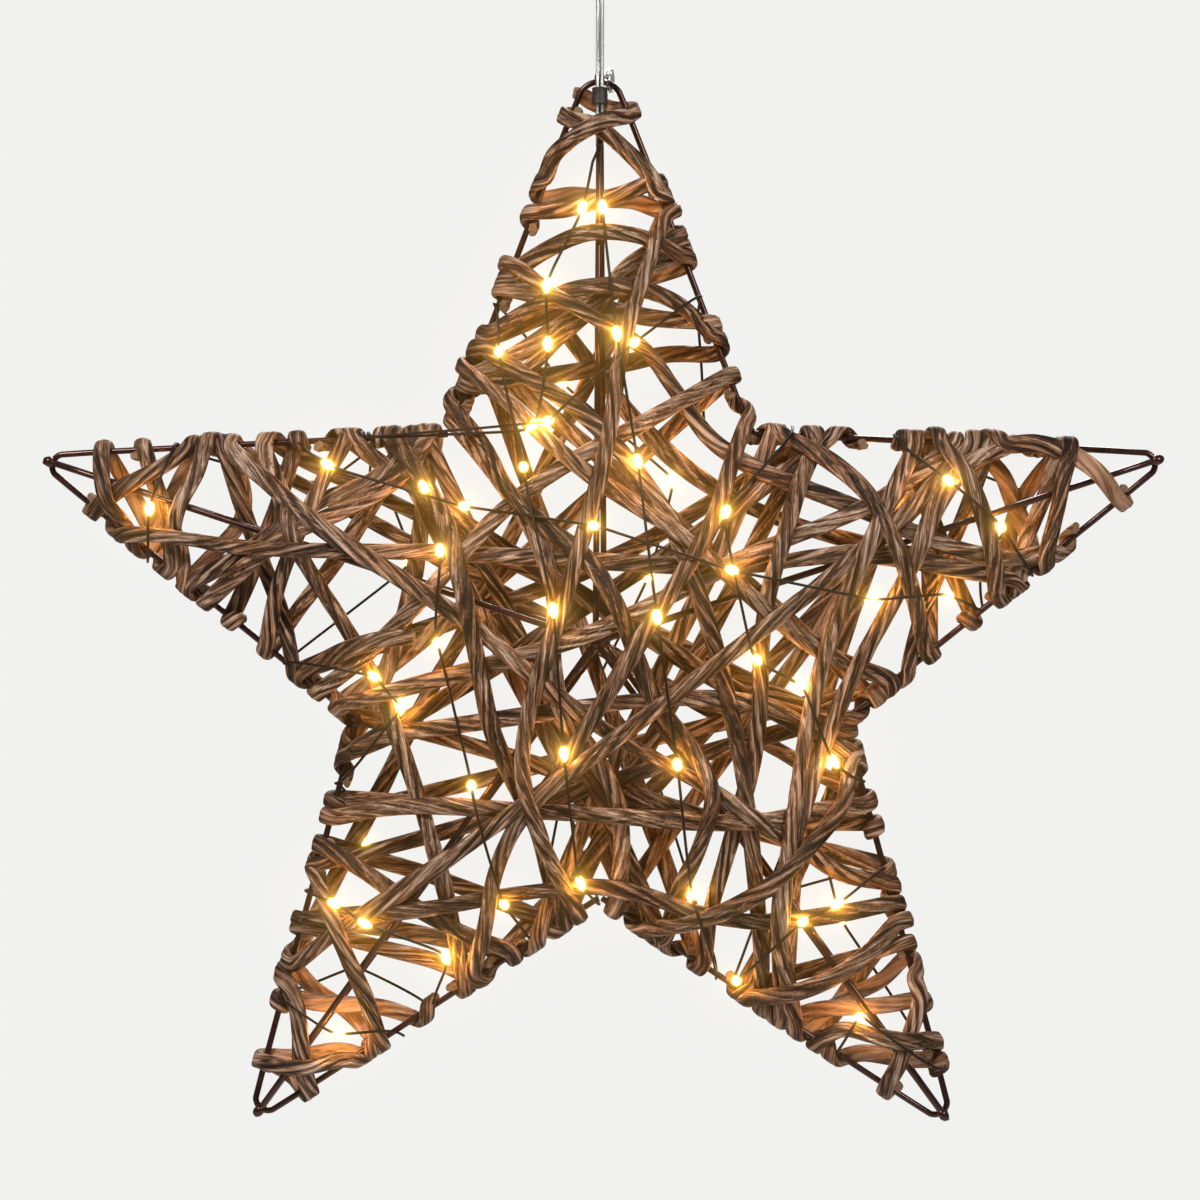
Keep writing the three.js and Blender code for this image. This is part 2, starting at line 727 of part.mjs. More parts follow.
// Lay each pass on the frame and on every pass laid before it on the same face.
function layPasses(passes, fixed) {
  [...fixed, ...passes].forEach(spreadRings);
  passes.forEach((pass, order) => {
    const rings = pass.rings;
    rings.forEach((ring) => {
      ring.height = edgeLift + frameRise(ring.x, ring.z);
    });
    if (pass.startWrap) {
      rings[0].height = Math.max(rings[0].height, pass.startWrap.lift);
    }
    rings[rings.length - 1].height = Math.max(rings[rings.length - 1].height, pass.endWrap.lift);
    const rest = rings.map((ring) => ring.height);
    const below = [...fixed, ...passes.slice(0, order)];
    const links = [];
    for (const lower of below) {
      for (let under = 0; under + 1 < lower.rings.length; under += 1) {
        for (let at = 0; at + 1 < rings.length; at += 1) {
          links.push(...linksBetween(lower, under, pass, at));
        }
      }
    }
    for (const link of links) {
      const low = rings[link.at];
      const high = rings[link.at + 1];
      const now = low.height + (high.height - low.height) * link.share;
      if (now < link.height) {
        const other = 1 - link.share;
        const push = (link.height - now) / (other * other + link.share * link.share);
        low.height += push * other;
        high.height += push * link.share;
      }
    }
    pullTight(rings, rest, links);
  });
}

const strands = {};
for (const [name, route] of Object.entries(strandRoutes)) {
  strands[name] = cutRoute(route, strandRings, strandWidth, strandClear);
}
const lights = {};
for (const [name, route] of Object.entries(lightRoutes)) {
  lights[name] = cutRoute(route, cordRings, cordDiameter, cordClear);
}
const allPasses = [...Object.values(strands), ...Object.values(lights)].flat();
for (const side of [-1, 1]) {
  const ridges = pointNames.map((name, arm) => {
    const [x, z] = clockPoint(tipReach, arm * 2);
    const tip = { x, z, height: ridgeAtTip, thick: wireDiameter };
    return { rings: [tip, { x: 0, z: 0, height: ridgeRise, thick: wireDiameter }], width: wireDiameter };
  });
  const tail = cablePath.slice(0, cableTailPoints).map((point) => {
    return { x: point.x, z: point.z, height: -point.y, thick: cableDiameter };
  });
  const cable = { rings: tail, width: cableDiameter };
  layPasses(allPasses.filter((pass) => pass.side === side), side < 0 ? [...ridges, cable] : ridges);
}

// Rings of one strand in order, turning over the outline wire between its passes.
function travel(passes) {
  const stops = [];
  const edgeStop = (wrap, side, height, thick) => ({
    point: new THREE.Vector3(wrap.x, side * height, wrap.z),
    up: new THREE.Vector3(0, side, 0),
    wrap, thick,
  });
  const overStop = (wrap, lift, thick) => ({
    point: new THREE.Vector3(wrap.x + wrap.outward[0] * lift, 0, wrap.z + wrap.outward[1] * lift),
    up: new THREE.Vector3(wrap.outward[0], 0, wrap.outward[1]),
    wrap, thick,
  });
  passes.forEach((pass, order) => {
    const thick = pass.rings[0].thick;
    if (order === 0 && pass.startWrap) {
      stops.push(overStop(pass.startWrap, pass.startWrap.lift, thick));
    }
    pass.rings.forEach((ring, at) => {
      const wrap = at === 0 ? pass.startWrap : at + 1 === pass.rings.length ? pass.endWrap : null;
      if (wrap) {
        stops.push(edgeStop(wrap, pass.side, ring.height, ring.thick));
      } else {
        stops.push({
          point: new THREE.Vector3(ring.x, pass.side * ring.height, ring.z),
          up: frameUp(ring.x, ring.z, pass.side),
          wrap: null,
          thick: ring.thick,
        });
      }
    });
    stops.push(overStop(pass.endWrap, pass.endWrap.lift, thick));
  });
  return stops;
}

function ribbon(stops, width, thick) {
  const headings = directions(stops.map((stop) => stop.point));
  const rings = stops.map((stop, at) => {
    const heading = headings[at];
    let across;
    if (stop.wrap) {
      const along = new THREE.Vector3(-stop.wrap.outward[1], 0, stop.wrap.outward[0]);
      const guess = heading.clone().cross(stop.up);
      across = along.multiplyScalar(along.dot(guess) < 0 ? -1 : 1);
    } else {
      across = heading.clone().cross(stop.up).normalize();
    }
    const rise = stop.wrap ? stop.up.clone() : across.clone().cross(heading).normalize();
    const halfWidth = width / 2;
    const halfThick = thick / 2;
    return [[-1, -1], [-1, 1], [1, 1], [1, -1]].map(([sideways, upward]) => {
      const spot = stop.point.clone().addScaledVector(across, sideways * halfWidth);
      return spot.addScaledVector(rise, upward * halfThick);
    });
  });
  return skin(rings);
}

for (const [name, passes] of Object.entries(strands)) {
  add(name, ribbon(travel(passes), strandWidth, strandThick), colours.strand, strandRoughness);
}

// Strands inside the frame, under the ridges: each runs from one outline wire to another and bows to the
// front (less than zero) or to the back, by its own amount so that they pass clear of each other.
const innerRoutes = {
  strand_inner_01: { from: [-48, 175], to: [55, 157], bow: -7 },
  strand_inner_02: { from: [-66, 128], to: [40, 196], bow: -12 },
  strand_inner_03: { from: [-130, 103], to: [127, -60], bow: -24 },
  strand_inner_04: { from: [120, 103], to: [-127, -60], bow: -20 },
  strand_inner_05: { from: [-88, 103], to: [35, -151], bow: -15.5 },
  strand_inner_06: { from: [88, 103], to: [-35, -151], bow: -11 },
  strand_inner_07: { from: [-133, -80], to: [136, -92], bow: 0 },
  strand_inner_08: { from: [-142, -114], to: [127, -35], bow: -3.6 },
  strand_inner_09: { from: [142, -114], to: [-127, -35], bow: 3.6 },
  strand_inner_10: { from: [-160, -180], to: [-90, -187], bow: 4 },
  strand_inner_11: { from: [160, -180], to: [90, -187], bow: 4 },
  strand_inner_12: { from: [-150, -143], to: [-60, -167], bow: -4 },
  strand_inner_13: { from: [152, -151], to: [70, -174], bow: -4 },
  strand_inner_14: { from: [-190, 98], to: [-150, -17], bow: -5 },
  strand_inner_15: { from: [-152, 100], to: [-185, 11], bow: 5 },
  strand_inner_16: { from: [152, 100], to: [185, 11], bow: 5 },
  strand_inner_17: { from: [195, 98], to: [150, -17], bow: -5 },
  strand_inner_18: { from: [-230, 96], to: [-205, 27], bow: -3 },
  strand_inner_19: { from: [230, 96], to: [205, 27], bow: -3 },
  strand_inner_20: { from: [-34, 212], to: [28, 228], bow: -4 },
  strand_inner_21: { from: [-168, -210], to: [-118, -205], bow: 3 },
  strand_inner_22: { from: [168, -210], to: [118, -205], bow: 3 },
  strand_inner_23: { from: [-108, 102], to: [21, -142], bow: 19.5 },
  strand_inner_24: { from: [105, 102], to: [-21, -142], bow: 12 },
  strand_inner_25: { from: [-60, 143], to: [137, -27], bow: 16 },
};

function innerStops({ from, to, bow }) {
  const ends = [from, to].map((point) => {
    const near = nearestEdge(point[0], point[1]);
    const { outward } = near.edge;
    return { outward, x: near.foot[0] - outward[0] * innerGap, z: near.foot[1] - outward[1] * innerGap };
  });
  const length = Math.hypot(ends[1].x - ends[0].x, ends[1].z - ends[0].z);
  const stops = [];
  for (let at = 0; at <= innerSpans; at += 1) {
    const share = at / innerSpans;
    const x = ends[0].x + (ends[1].x - ends[0].x) * share;
    const z = ends[0].z + (ends[1].z - ends[0].z) * share;
    const reach = Math.min(share, 1 - share) * length;
    const height = bow * Math.sin((Math.PI / 2) * Math.min(1, reach / Math.min(innerRamp, length / 2)));
    const wrap = at === 0 ? ends[0] : at === innerSpans ? ends[1] : null;
    stops.push({ point: new THREE.Vector3(x, height, z), up: new THREE.Vector3(0, 1, 0), wrap });
  }
  return stops;
}

for (const [name, route] of Object.entries(innerRoutes)) {
  add(name, ribbon(innerStops(route), strandWidth, strandThick), colours.strand, strandRoughness);
}

for (const [name, passes] of Object.entries(lights)) {
  const stops = travel(passes);
  const points = stops.map((stop) => stop.point);
  const diameters = stops.map((stop) => stop.thick);
  add(name, rod(points, diameters, cordSides), colours.cord, plasticRoughness);
}

export default group;
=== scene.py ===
import math
import random

import bmesh
import bpy
from mathutils import Matrix, Vector, noise


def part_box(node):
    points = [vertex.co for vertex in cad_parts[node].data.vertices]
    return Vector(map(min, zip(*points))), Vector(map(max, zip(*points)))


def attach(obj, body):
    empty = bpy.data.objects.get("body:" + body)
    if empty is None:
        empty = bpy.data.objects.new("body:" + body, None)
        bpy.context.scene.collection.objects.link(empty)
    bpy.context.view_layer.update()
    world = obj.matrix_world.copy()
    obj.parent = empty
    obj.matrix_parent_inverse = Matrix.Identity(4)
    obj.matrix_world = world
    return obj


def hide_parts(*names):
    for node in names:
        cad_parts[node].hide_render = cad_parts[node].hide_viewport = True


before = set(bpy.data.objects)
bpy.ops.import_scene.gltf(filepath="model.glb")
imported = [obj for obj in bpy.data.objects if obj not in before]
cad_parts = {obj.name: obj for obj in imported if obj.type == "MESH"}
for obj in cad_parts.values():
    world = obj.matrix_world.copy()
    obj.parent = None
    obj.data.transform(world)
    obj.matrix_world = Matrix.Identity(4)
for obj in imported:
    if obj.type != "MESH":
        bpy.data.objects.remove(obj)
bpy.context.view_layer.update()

starCentre = Vector((0.0, 0.0, -0.35))  # the origin is the top of the ceiling fitting
scene = bpy.context.scene
print("frame loaded:", len(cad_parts), "nodes")


# Camera: level, a little to the right of the star's axis, the frame 600 mm wide at the star
cameraPlace = {
    "distance": 2.0,
    "aside": math.radians(2.7),
    "aimAbove": 0.0205,
    "lens": 120.0,
    "sensor": 36.0,
}


def addCamera(place):
    aim = starCentre + Vector((0, 0, place["aimAbove"]))
    away = Vector((math.sin(place["aside"]), -math.cos(place["aside"]), 0))
    bpy.ops.object.camera_add(location=aim + away * place["distance"])
    camera = bpy.context.object
    camera.name = "photoCamera"
    camera.rotation_euler = (-away).to_track_quat("-Z", "Y").to_euler()
    camera.data.lens = place["lens"]
    camera.data.sensor_width = place["sensor"]
    scene.camera = camera


addCamera(cameraPlace)
print("camera placed")


# Shared node groups
def newGroup(name, inputs, outputs):
    group = bpy.data.node_groups.new(name, "ShaderNodeTree")
    for label, kind in inputs:
        group.interface.new_socket(label, in_out="INPUT", socket_type=kind)
    for label, kind in outputs:
        group.interface.new_socket(label, in_out="OUTPUT", socket_type=kind)
    start = group.nodes.new("NodeGroupInput")
    end = group.nodes.new("NodeGroupOutput")
    return group, start, end


def addNoise(tree, vector, scale, detail, roughness):
    texture = tree.nodes.new("ShaderNodeTexNoise")
    texture.inputs["Scale"].default_value = scale
    texture.inputs["Detail"].default_value = detail
    texture.inputs["Roughness"].default_value = roughness
    tree.links.new(vector, texture.inputs["Vector"])
    return texture.outputs["Fac"]


# Scale, detail and roughness of each noise in the wicker's grain
grainNoise = {
    "Streak": (1.0, 3.0, 0.55),
    "Fine": (3.1, 2.0, 0.6),
    "Patch": (26.0, 1.0, 0.5),
}
mottleDetail = 4.0
mottleSpan = (0.3, 0.7)  # the part of the mottle's value that roughness follows


# Long streaks that follow a strand: broad ones, fine ones, and slow patches along it
def buildLongGrain():
    group, start, end = newGroup(
        "longGrain",
        [("Place", "NodeSocketVector"), ("Across", "NodeSocketFloat"), ("Along", "NodeSocketFloat")],
        [(label, "NodeSocketFloat") for label in grainNoise],
    )
    stretch = group.nodes.new("ShaderNodeCombineXYZ")
    for axis, label in (("X", "Across"), ("Y", "Across"), ("Z", "Along")):
        group.links.new(start.outputs[label], stretch.inputs[axis])
    placed = group.nodes.new("ShaderNodeVectorMath")
    placed.operation = "MULTIPLY"
    group.links.new(start.outputs["Place"], placed.inputs[0])
    group.links.new(stretch.outputs["Vector"], placed.inputs[1])
    for label, values in grainNoise.items():
        vector = start.outputs["Place"] if label == "Patch" else placed.outputs["Vector"]
        group.links.new(addNoise(group, vector, *values), end.inputs[label])
    return group


# Slow unevenness in a smooth finish, as a value about one half
def buildMottle():
    group, start, end = newGroup(
        "finishMottle",
        [("Scale", "NodeSocketFloat")],
        [("Value", "NodeSocketFloat")],
    )
    place = group.nodes.new("ShaderNodeTexCoord")
    texture = group.nodes.new("ShaderNodeTexNoise")
    texture.inputs["Detail"].default_value = mottleDetail
    group.links.new(place.outputs["Object"], texture.inputs["Vector"])
    group.links.new(start.outputs["Scale"], texture.inputs["Scale"])
    group.links.new(texture.outputs["Fac"], end.inputs["Value"])
    return group


longGrain = buildLongGrain()
finishMottle = buildMottle()


def newMaterial(name):
    material = bpy.data.materials.new(name)
    material.use_nodes = True
    tree = material.node_tree
    return material, tree, tree.nodes["Principled BSDF"]


def placeGroup(tree, group, **values):
    node = tree.nodes.new("ShaderNodeGroup")
    node.node_tree = group
    for label, value in values.items():
        node.inputs[label].default_value = value
    return node


def addRamp(tree, factor, stops):
    ramp = tree.nodes.new("ShaderNodeValToRGB")
    marks = ramp.color_ramp.elements
    while len(marks) < len(stops):
        marks.new(0.5)
    for mark, (position, colour) in zip(marks, stops):
        mark.position = position
        mark.color = (*colour, 1.0)
    tree.links.new(factor, ramp.inputs["Fac"])
    return ramp.outputs["Color"]


def addRange(tree, value, low, high, outLow, outHigh):
    node = tree.nodes.new("ShaderNodeMapRange")
    node.inputs["From Min"].default_value = low
    node.inputs["From Max"].default_value = high
    node.inputs["To Min"].default_value = outLow
    node.inputs["To Max"].default_value = outHigh
    tree.links.new(value, node.inputs["Value"])
    return node.outputs["Result"]


def addMix(tree, factor, first, second, blend="MIX"):
    factorAt, firstAt, secondAt, resultAt = 0, 6, 7, 2  # the mix node's sockets for colours
    node = tree.nodes.new("ShaderNodeMix")
    node.data_type = "RGBA"
    node.blend_type = blend
    for at, value in ((factorAt, factor), (firstAt, first), (secondAt, second)):
        if isinstance(value, bpy.types.NodeSocket):
            tree.links.new(value, node.inputs[at])
        else:
            node.inputs[at].default_value = value
    return node.outputs[resultAt]


def addMath(tree, operation, *values):
    node = tree.nodes.new("ShaderNodeMath")
    node.operation = operation
    for socket, value in zip(node.inputs, values):
        if isinstance(value, bpy.types.NodeSocket):
            tree.links.new(value, socket)
        else:
            socket.default_value = value
    return node.outputs["Value"]


def addAttribute(tree, name, output="Fac"):
    node = tree.nodes.new("ShaderNodeAttribute")
    node.attribute_name = name
    return node.outputs[output]


def addBump(tree, height, strength, distance, shader):
    bump = tree.nodes.new("ShaderNodeBump")
    bump.inputs["Strength"].default_value = strength
    bump.inputs["Distance"].default_value = distance
    tree.links.new(height, bump.inputs["Height"])
    tree.links.new(bump.outputs["Normal"], shader.inputs["Normal"])


# A finish whose colour and roughness vary a little, by the values of its piece
def unevenFinish(name, look):
    material, tree, shader = newMaterial(name)
    mottle = placeGroup(tree, finishMottle, Scale=look["mottleScale"]).outputs["Value"]
    tree.links.new(addRamp(tree, mottle, look["tones"]), shader.inputs["Base Color"])
    rough = addRange(tree, mottle, *mottleSpan, *look["roughness"])
    tree.links.new(rough, shader.inputs["Roughness"])
    return material, tree, shader, mottle


# Geometry helpers
def deselectAll():
    if bpy.context.object and bpy.context.object.mode != "OBJECT":
        bpy.ops.object.mode_set(mode="OBJECT")
    bpy.ops.object.select_all(action="DESELECT")


def makeActive(piece):
    deselectAll()
    piece.select_set(True)
    bpy.context.view_layer.objects.active = piece


def finishPiece(piece, slot, material, *nodes):
    piece.data.materials.clear()
    piece.data.materials.append(material)
    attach(piece, "root")
    if nodes:
        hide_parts(*nodes)


# Rings of corners along a CAD ribbon or rod, in order from one end to the other
def nodeRings(name):
    weld = 1e-5
    inside = 6  # edges that meet at a corner away from the ends
    mesh = bmesh.new()
    mesh.from_mesh(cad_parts[name].data)
    bmesh.ops.remove_doubles(mesh, verts=mesh.verts, dist=weld)
    beside = {v: {e.other_vert(v) for e in v.link_edges} for v in mesh.verts}
    ends = [v for v in mesh.verts if len(beside[v]) != inside]
    ring = firstRing(ends, beside)
    seen = set(ring)
    rings = [[v.co.copy() for v in ring]]
    turn = None
    while True:
        ahead = [beside[v] - seen for v in ring]
        if not ahead[0]:
            break
        if turn is None:
            turn = min((-1, 1), key=lambda way: sum(
                (v.co - matched(ahead, at, way).co).length for at, v in enumerate(ring)))
        ring = [matched(ahead, at, turn) for at in range(len(ring))]
        seen.update(ring)
        rings.append([v.co.copy() for v in ring])
    mesh.free()
    return rings


def matched(ahead, at, way):
    return next(iter(ahead[at] & ahead[(at + way) % len(ahead)]))


# The corners of one end, in order round it: corners with few neighbours come first, then near ones
def firstRing(ends, beside):
    perNeighbour = 10
    group = {ends[0]}
    grown = True
    while grown:
        more = {w for v in group for w in beside[v] if w in ends} - group
        group |= more
        grown = bool(more)
    rim = {v: [w for w in beside[v] if w in group] for v in group}
    lone = min(group, key=lambda v: len(rim[v]))
    ring = [lone]
    while len(ring) < len(group):
        left = [w for w in rim[ring[-1]] if w not in ring]
        ring.append(min(left, key=lambda w: len(rim[w]) * perNeighbour + (w.co - ring[-1].co).length))
    return ring


def ringCentre(ring):
    return sum(ring, Vector()) / len(ring)


# A smooth line through points: each new point comes with its place in the list
def smoothLine(points, step):
    line = []
    last = len(points) - 1
    for at in range(last):
        before = points[max(at - 1, 0)]
        first = points[at]
        second = points[at + 1]
        after = points[min(at + 2, last)]
        gap = math.sqrt((second - first).length)
        gapBefore = math.sqrt((first - before).length) or gap
        gapAfter = math.sqrt((after - second).length) or gap
        slopeOne = second - first
        slopeTwo = second - first
        if at > 0:
            slopeOne += (first - before) * (gap / gapBefore) - (second - before) * (gap / (gapBefore + gap))
        if at + 2 <= last:
            slopeTwo += (after - second) * (gap / gapAfter) - (after - first) * (gap / (gap + gapAfter))
        parts = max(1, math.ceil((second - first).length / step))
        for part in range(parts):
            t = part / parts
            cube = t ** 3
            square = t ** 2
            spot = first * (2 * cube - 3 * square + 1) + slopeOne * (cube - 2 * square + t)
            spot = spot + second * (3 * square - 2 * cube) + slopeTwo * (cube - square)
            line.append((spot, at + t))
    line.append((points[-1].copy(), float(last)))
    return line


def relaxed(points, rounds):
    for again in range(rounds):
        eased = [a * 0.25 + b * 0.5 + c * 0.25 for a, b, c in zip(points, points[1:], points[2:])]
        points = [points[0], *eased, points[-1]]
    return points


# Round the corners of a line by cutting them, so that straight legs stay straight
def cornersCut(points, rounds):
    cutShare = 0.25
    for again in range(rounds):
        cut = [points[0]]
        for first, second in zip(points, points[1:]):
            cut.append(first.lerp(second, cutShare))
            cut.append(first.lerp(second, 1 - cutShare))
        cut.append(points[-1])
        points = cut
    return points


def headings(points):
    last = len(points) - 1
    return [(points[min(at + 1, last)] - points[max(at - 1, 0)]).normalized() for at in range(last + 1)]


# A closed skin through rings, with a flat cap at each end
def skinned(name, rings):
    smoothBelow = math.radians(50)
    sides = len(rings[0])
    spots = [spot for ring in rings for spot in ring]
    faces = []
    for row in range(len(rings) - 1):
        low = row * sides
        for side in range(sides):
            after = (side + 1) % sides
            faces.append((low + side, low + after, low + sides + after, low + sides + side))
    faces.append(tuple(reversed(range(sides))))
    faces.append(tuple(range(len(spots) - sides, len(spots))))
    mesh = bpy.data.meshes.new(name)
    mesh.from_pydata(spots, [], faces)
    piece = bpy.data.objects.new(name, mesh)
    scene.collection.objects.link(piece)
    makeActive(piece)
    bpy.ops.object.mode_set(mode="EDIT")
    bpy.ops.mesh.select_all(action="SELECT")
    bpy.ops.mesh.normals_make_consistent(inside=False)
    bpy.ops.object.mode_set(mode="OBJECT")
    bpy.ops.object.shade_smooth_by_angle(angle=smoothBelow)
    return piece


# A round rod along points, with its ends drawn in a little
def roundRod(name, points, radius, sides, endRound=0.0):
    ways = headings(points)
    across = ways[0].orthogonal().normalized()
    rings = []
    for spot, way in zip(points, ways):
        across = (across - way * across.dot(way)).normalized()
        upward = way.cross(across)
        ring = []
        for side in range(sides):
            turn = 2 * math.pi * side / sides
            ring.append(spot + (across * math.cos(turn) + upward * math.sin(turn)) * radius)
        rings.append(ring)
    if endRound:
        rings = [roundEnd(points[0], -ways[0], rings[0], endRound), *rings]
        rings.append(roundEnd(points[-1], ways[-1], rings[-1], endRound))
    return skinned(name, rings)


def roundEnd(spot, way, ring, endRound):
    shrink = 0.55
    return [spot.lerp(corner, shrink) + way * endRound for corner in ring]


def joinPieces(name, parts):
    deselectAll()
    for part in parts:
        part.select_set(True)
    bpy.context.view_layer.objects.active = parts[0]
    bpy.ops.object.join()
    parts[0].name = name
    parts[0].data.name = name
    return parts[0]


# Hanging cable: two stranded conductors in a clear jacket, on the route of the CAD cable
cable = {
    "diameter": 0.004,
    "route": [
        (0.0005, -0.0142, -0.104),
        (0.0005, -0.0124, -0.0855),
        (0.0005, -0.0124, -0.0725),
        (0.0, 0.0, -0.03),
        (0.0, 0.0, -0.017),
    ],
    "step": 0.002,
    "sides": 20,
    "coreRadius": 0.00062,
    "coreApart": 0.00088,
    "coreLobes": 5,
    "coreLobeDepth": 0.16,
    "coreSides": 15,
    "coreTwist": 260.0,
    "coreStart": 0.004,
    "jacketColour": (0.93, 0.95, 0.94, 1.0),
    "jacketIndex": 1.42,
    "jacketMottle": 900.0,
    "jacketRoughness": (0.03, 0.16),
    "coreMottle": 1400.0,
    "coreTones": [(0.35, (0.324, 0.3195, 0.306)), (0.55, (0.72, 0.71, 0.68))],
    "coreRoughness": 0.28,
}


def buildClearPlastic():
    material, tree, shader = newMaterial("clearPlastic")
    shader.inputs["Base Color"].default_value = cable["jacketColour"]
    shader.inputs["Transmission Weight"].default_value = 1.0
    shader.inputs["IOR"].default_value = cable["jacketIndex"]
    mottle = placeGroup(tree, finishMottle, Scale=cable["jacketMottle"])
    rough = addRange(tree, mottle.outputs["Value"], *mottleSpan, *cable["jacketRoughness"])
    tree.links.new(rough, shader.inputs["Roughness"])
    return material


def buildTinnedCore():
    material, tree, shader = newMaterial("tinnedCore")
    shader.inputs["Metallic"].default_value = 1.0
    mottle = placeGroup(tree, finishMottle, Scale=cable["coreMottle"])
    colour = addRamp(tree, mottle.outputs["Value"], cable["coreTones"])
    tree.links.new(colour, shader.inputs["Base Color"])
    shader.inputs["Roughness"].default_value = cable["coreRoughness"]
    return material


clearPlastic = buildClearPlastic()
tinnedCore = buildTinnedCore()


def buildCable():
    points = [Vector(spot) for spot in cable["route"]]
    path = [spot for spot, place in smoothLine(points, cable["step"])]
    jacket = roundRod("cable_jacket", path, cable["diameter"] / 2, cable["sides"])
    finishPiece(jacket, "clear_plastic", clearPlastic, "clear_cable")
    cores = []
    ways = headings(path)
    side = Vector((1, 0, 0))
    for sign in (-1, 1):
        travelled = 0.0
        line = []
        for at, (spot, way) in enumerate(zip(path, ways)):
            travelled += (spot - path[at - 1]).length if at else 0.0
            across = (side - way * side.dot(way)).normalized()
            if travelled > cable["coreStart"]:
                line.append(spot + across * sign * cable["coreApart"])
        cores.append(twistedCore(f"cable_core_{len(cores)}", line))
    core = joinPieces("cable_cores", cores)
    finishPiece(core, "clear_plastic", tinnedCore)
    return jacket, core, path


# A stranded conductor: a rod whose lobed section turns as it runs
def twistedCore(name, line):
    sides = cable["coreSides"]
    ways = headings(line)
    across = Vector((1, 0, 0))
    travelled = 0.0
    rings = []
    for at, (spot, way) in enumerate(zip(line, ways)):
        travelled += (spot - line[at - 1]).length if at else 0.0
        across = (across - way * across.dot(way)).normalized()
        upward = way.cross(across)
        ring = []
        for side in range(sides):
            turn = 2 * math.pi * side / sides
            lobe = math.cos(cable["coreLobes"] * (turn + travelled * cable["coreTwist"]))
            radius = cable["coreRadius"] * (1 + cable["coreLobeDepth"] * lobe)
            ring.append(spot + (across * math.cos(turn) + upward * math.sin(turn)) * radius)
        rings.append(ring)
    return skinned(name, rings)


cableJacket, cableCores, cablePath = buildCable()


# Ceiling fitting: a spun cup with a cord grip, off-white
fitting = {
    "profile": [  # radius and height down from the ceiling
        (0.0021, -0.0222),
        (0.005, -0.0222),
        (0.006, -0.0212),
        (0.006, -0.0142),
        (0.0105, -0.0128),
        (0.018, -0.0108),
        (0.0222, -0.0078),
        (0.023, -0.0062),
        (0.023, -0.0004),
        (0.0226, 0.0),
        (0.0, 0.0),
    ],
    "spinSteps": 64,
    "mottleScale": 160.0,
    "tones": [(0.35, (0.77, 0.77, 0.745)), (0.6, (0.83, 0.83, 0.81))],
    "roughness": (0.36, 0.5),
    "grainScale": 2600.0,
    "bumpStrength": 0.12,
    "bumpDepth": 0.0002,
}


def buildOffWhite():
    material, tree, shader, mottle = unevenFinish("offWhitePlastic", fitting)
    grain = placeGroup(tree, finishMottle, Scale=fitting["grainScale"])
    addBump(tree, grain.outputs["Value"], fitting["bumpStrength"], fitting["bumpDepth"], shader)
    return material


# A profile of radius and height, spun once round the upright axis
def spun(name, profile, steps, centre=Vector()):
    weld = 1e-6
    smoothBelow = math.radians(35)
    mesh = bpy.data.meshes.new(name)
    spots = [(radius, 0, height) for radius, height in profile]
    mesh.from_pydata(spots, [(at, at + 1) for at in range(len(spots) - 1)], [])
    piece = bpy.data.objects.new(name, mesh)
    scene.collection.objects.link(piece)
    makeActive(piece)
    bpy.ops.object.mode_set(mode="EDIT")
    bpy.ops.mesh.select_all(action="SELECT")
    bpy.ops.mesh.spin(steps=steps, angle=2 * math.pi, center=(0, 0, 0), axis=(0, 0, 1))
    bpy.ops.mesh.select_all(action="SELECT")
    bpy.ops.mesh.remove_doubles(threshold=weld)
    bpy.ops.mesh.normals_make_consistent(inside=False)
    bpy.ops.object.mode_set(mode="OBJECT")
    bpy.ops.object.shade_smooth_by_angle(angle=smoothBelow)
    piece.data.transform(Matrix.Translation(centre))
    return piece


offWhitePlastic = buildOffWhite()
ceilingCup = spun("ceiling_cup", fitting["profile"], fitting["spinSteps"])
finishPiece(ceilingCup, "pale_plastic", offWhitePlastic, "ceiling_fitting")
print("fitting made")


# Black sleeve, shrunk on the cable, and the clear loop that ties it to the top bend
sleeve = {
    "profile": [  # radius and height about the sleeve's middle
        (0.0022, -0.0041),
        (0.0036, -0.0042),
        (0.004, -0.0036),
        (0.00385, -0.0018),
        (0.00395, 0.0004),
        (0.0038, 0.0022),
        (0.00395, 0.0035),
        (0.0036, 0.0041),
        (0.0022, 0.0039),
        (0.0022, -0.0041),
    ],
    "spinSteps": 40,
    "mottleScale": 520.0,
    "tones": [(0.42, (0.014, 0.0095, 0.007)), (0.72, (0.04, 0.03, 0.024))],
    "roughness": (0.38, 0.6),
    "bumpStrength": 0.3,
    "bumpDepth": 0.0004,
    "loopRadius": 0.00105,
    "loopSides": 12,
    "loopStep": 0.0008,
    "loopEndRound": 0.0004,
}


def buildBlackSleeve():
    material, tree, shader, mottle = unevenFinish("blackSleeve", sleeve)
    addBump(tree, mottle, sleeve["bumpStrength"], sleeve["bumpDepth"], shader)
    return material


sleeveLow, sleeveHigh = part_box("cable_sleeve")
blackSleeve = buildBlackSleeve()
cableSleeve = spun("shrunk_sleeve", sleeve["profile"], sleeve["spinSteps"], (sleeveLow + sleeveHigh) / 2)
finishPiece(cableSleeve, "black_plastic", blackSleeve, "cable_sleeve")

loopCentres = [ringCentre(ring) for ring in nodeRings("cable_loop")]
loopLine = [spot for spot, place in smoothLine(loopCentres, sleeve["loopStep"])]
clearLoop = roundRod("clear_loop", loopLine, sleeve["loopRadius"], sleeve["loopSides"],
                     sleeve["loopEndRound"])
finishPiece(clearLoop, "clear_plastic", clearPlastic, "cable_loop")
print("sleeve and loop made")


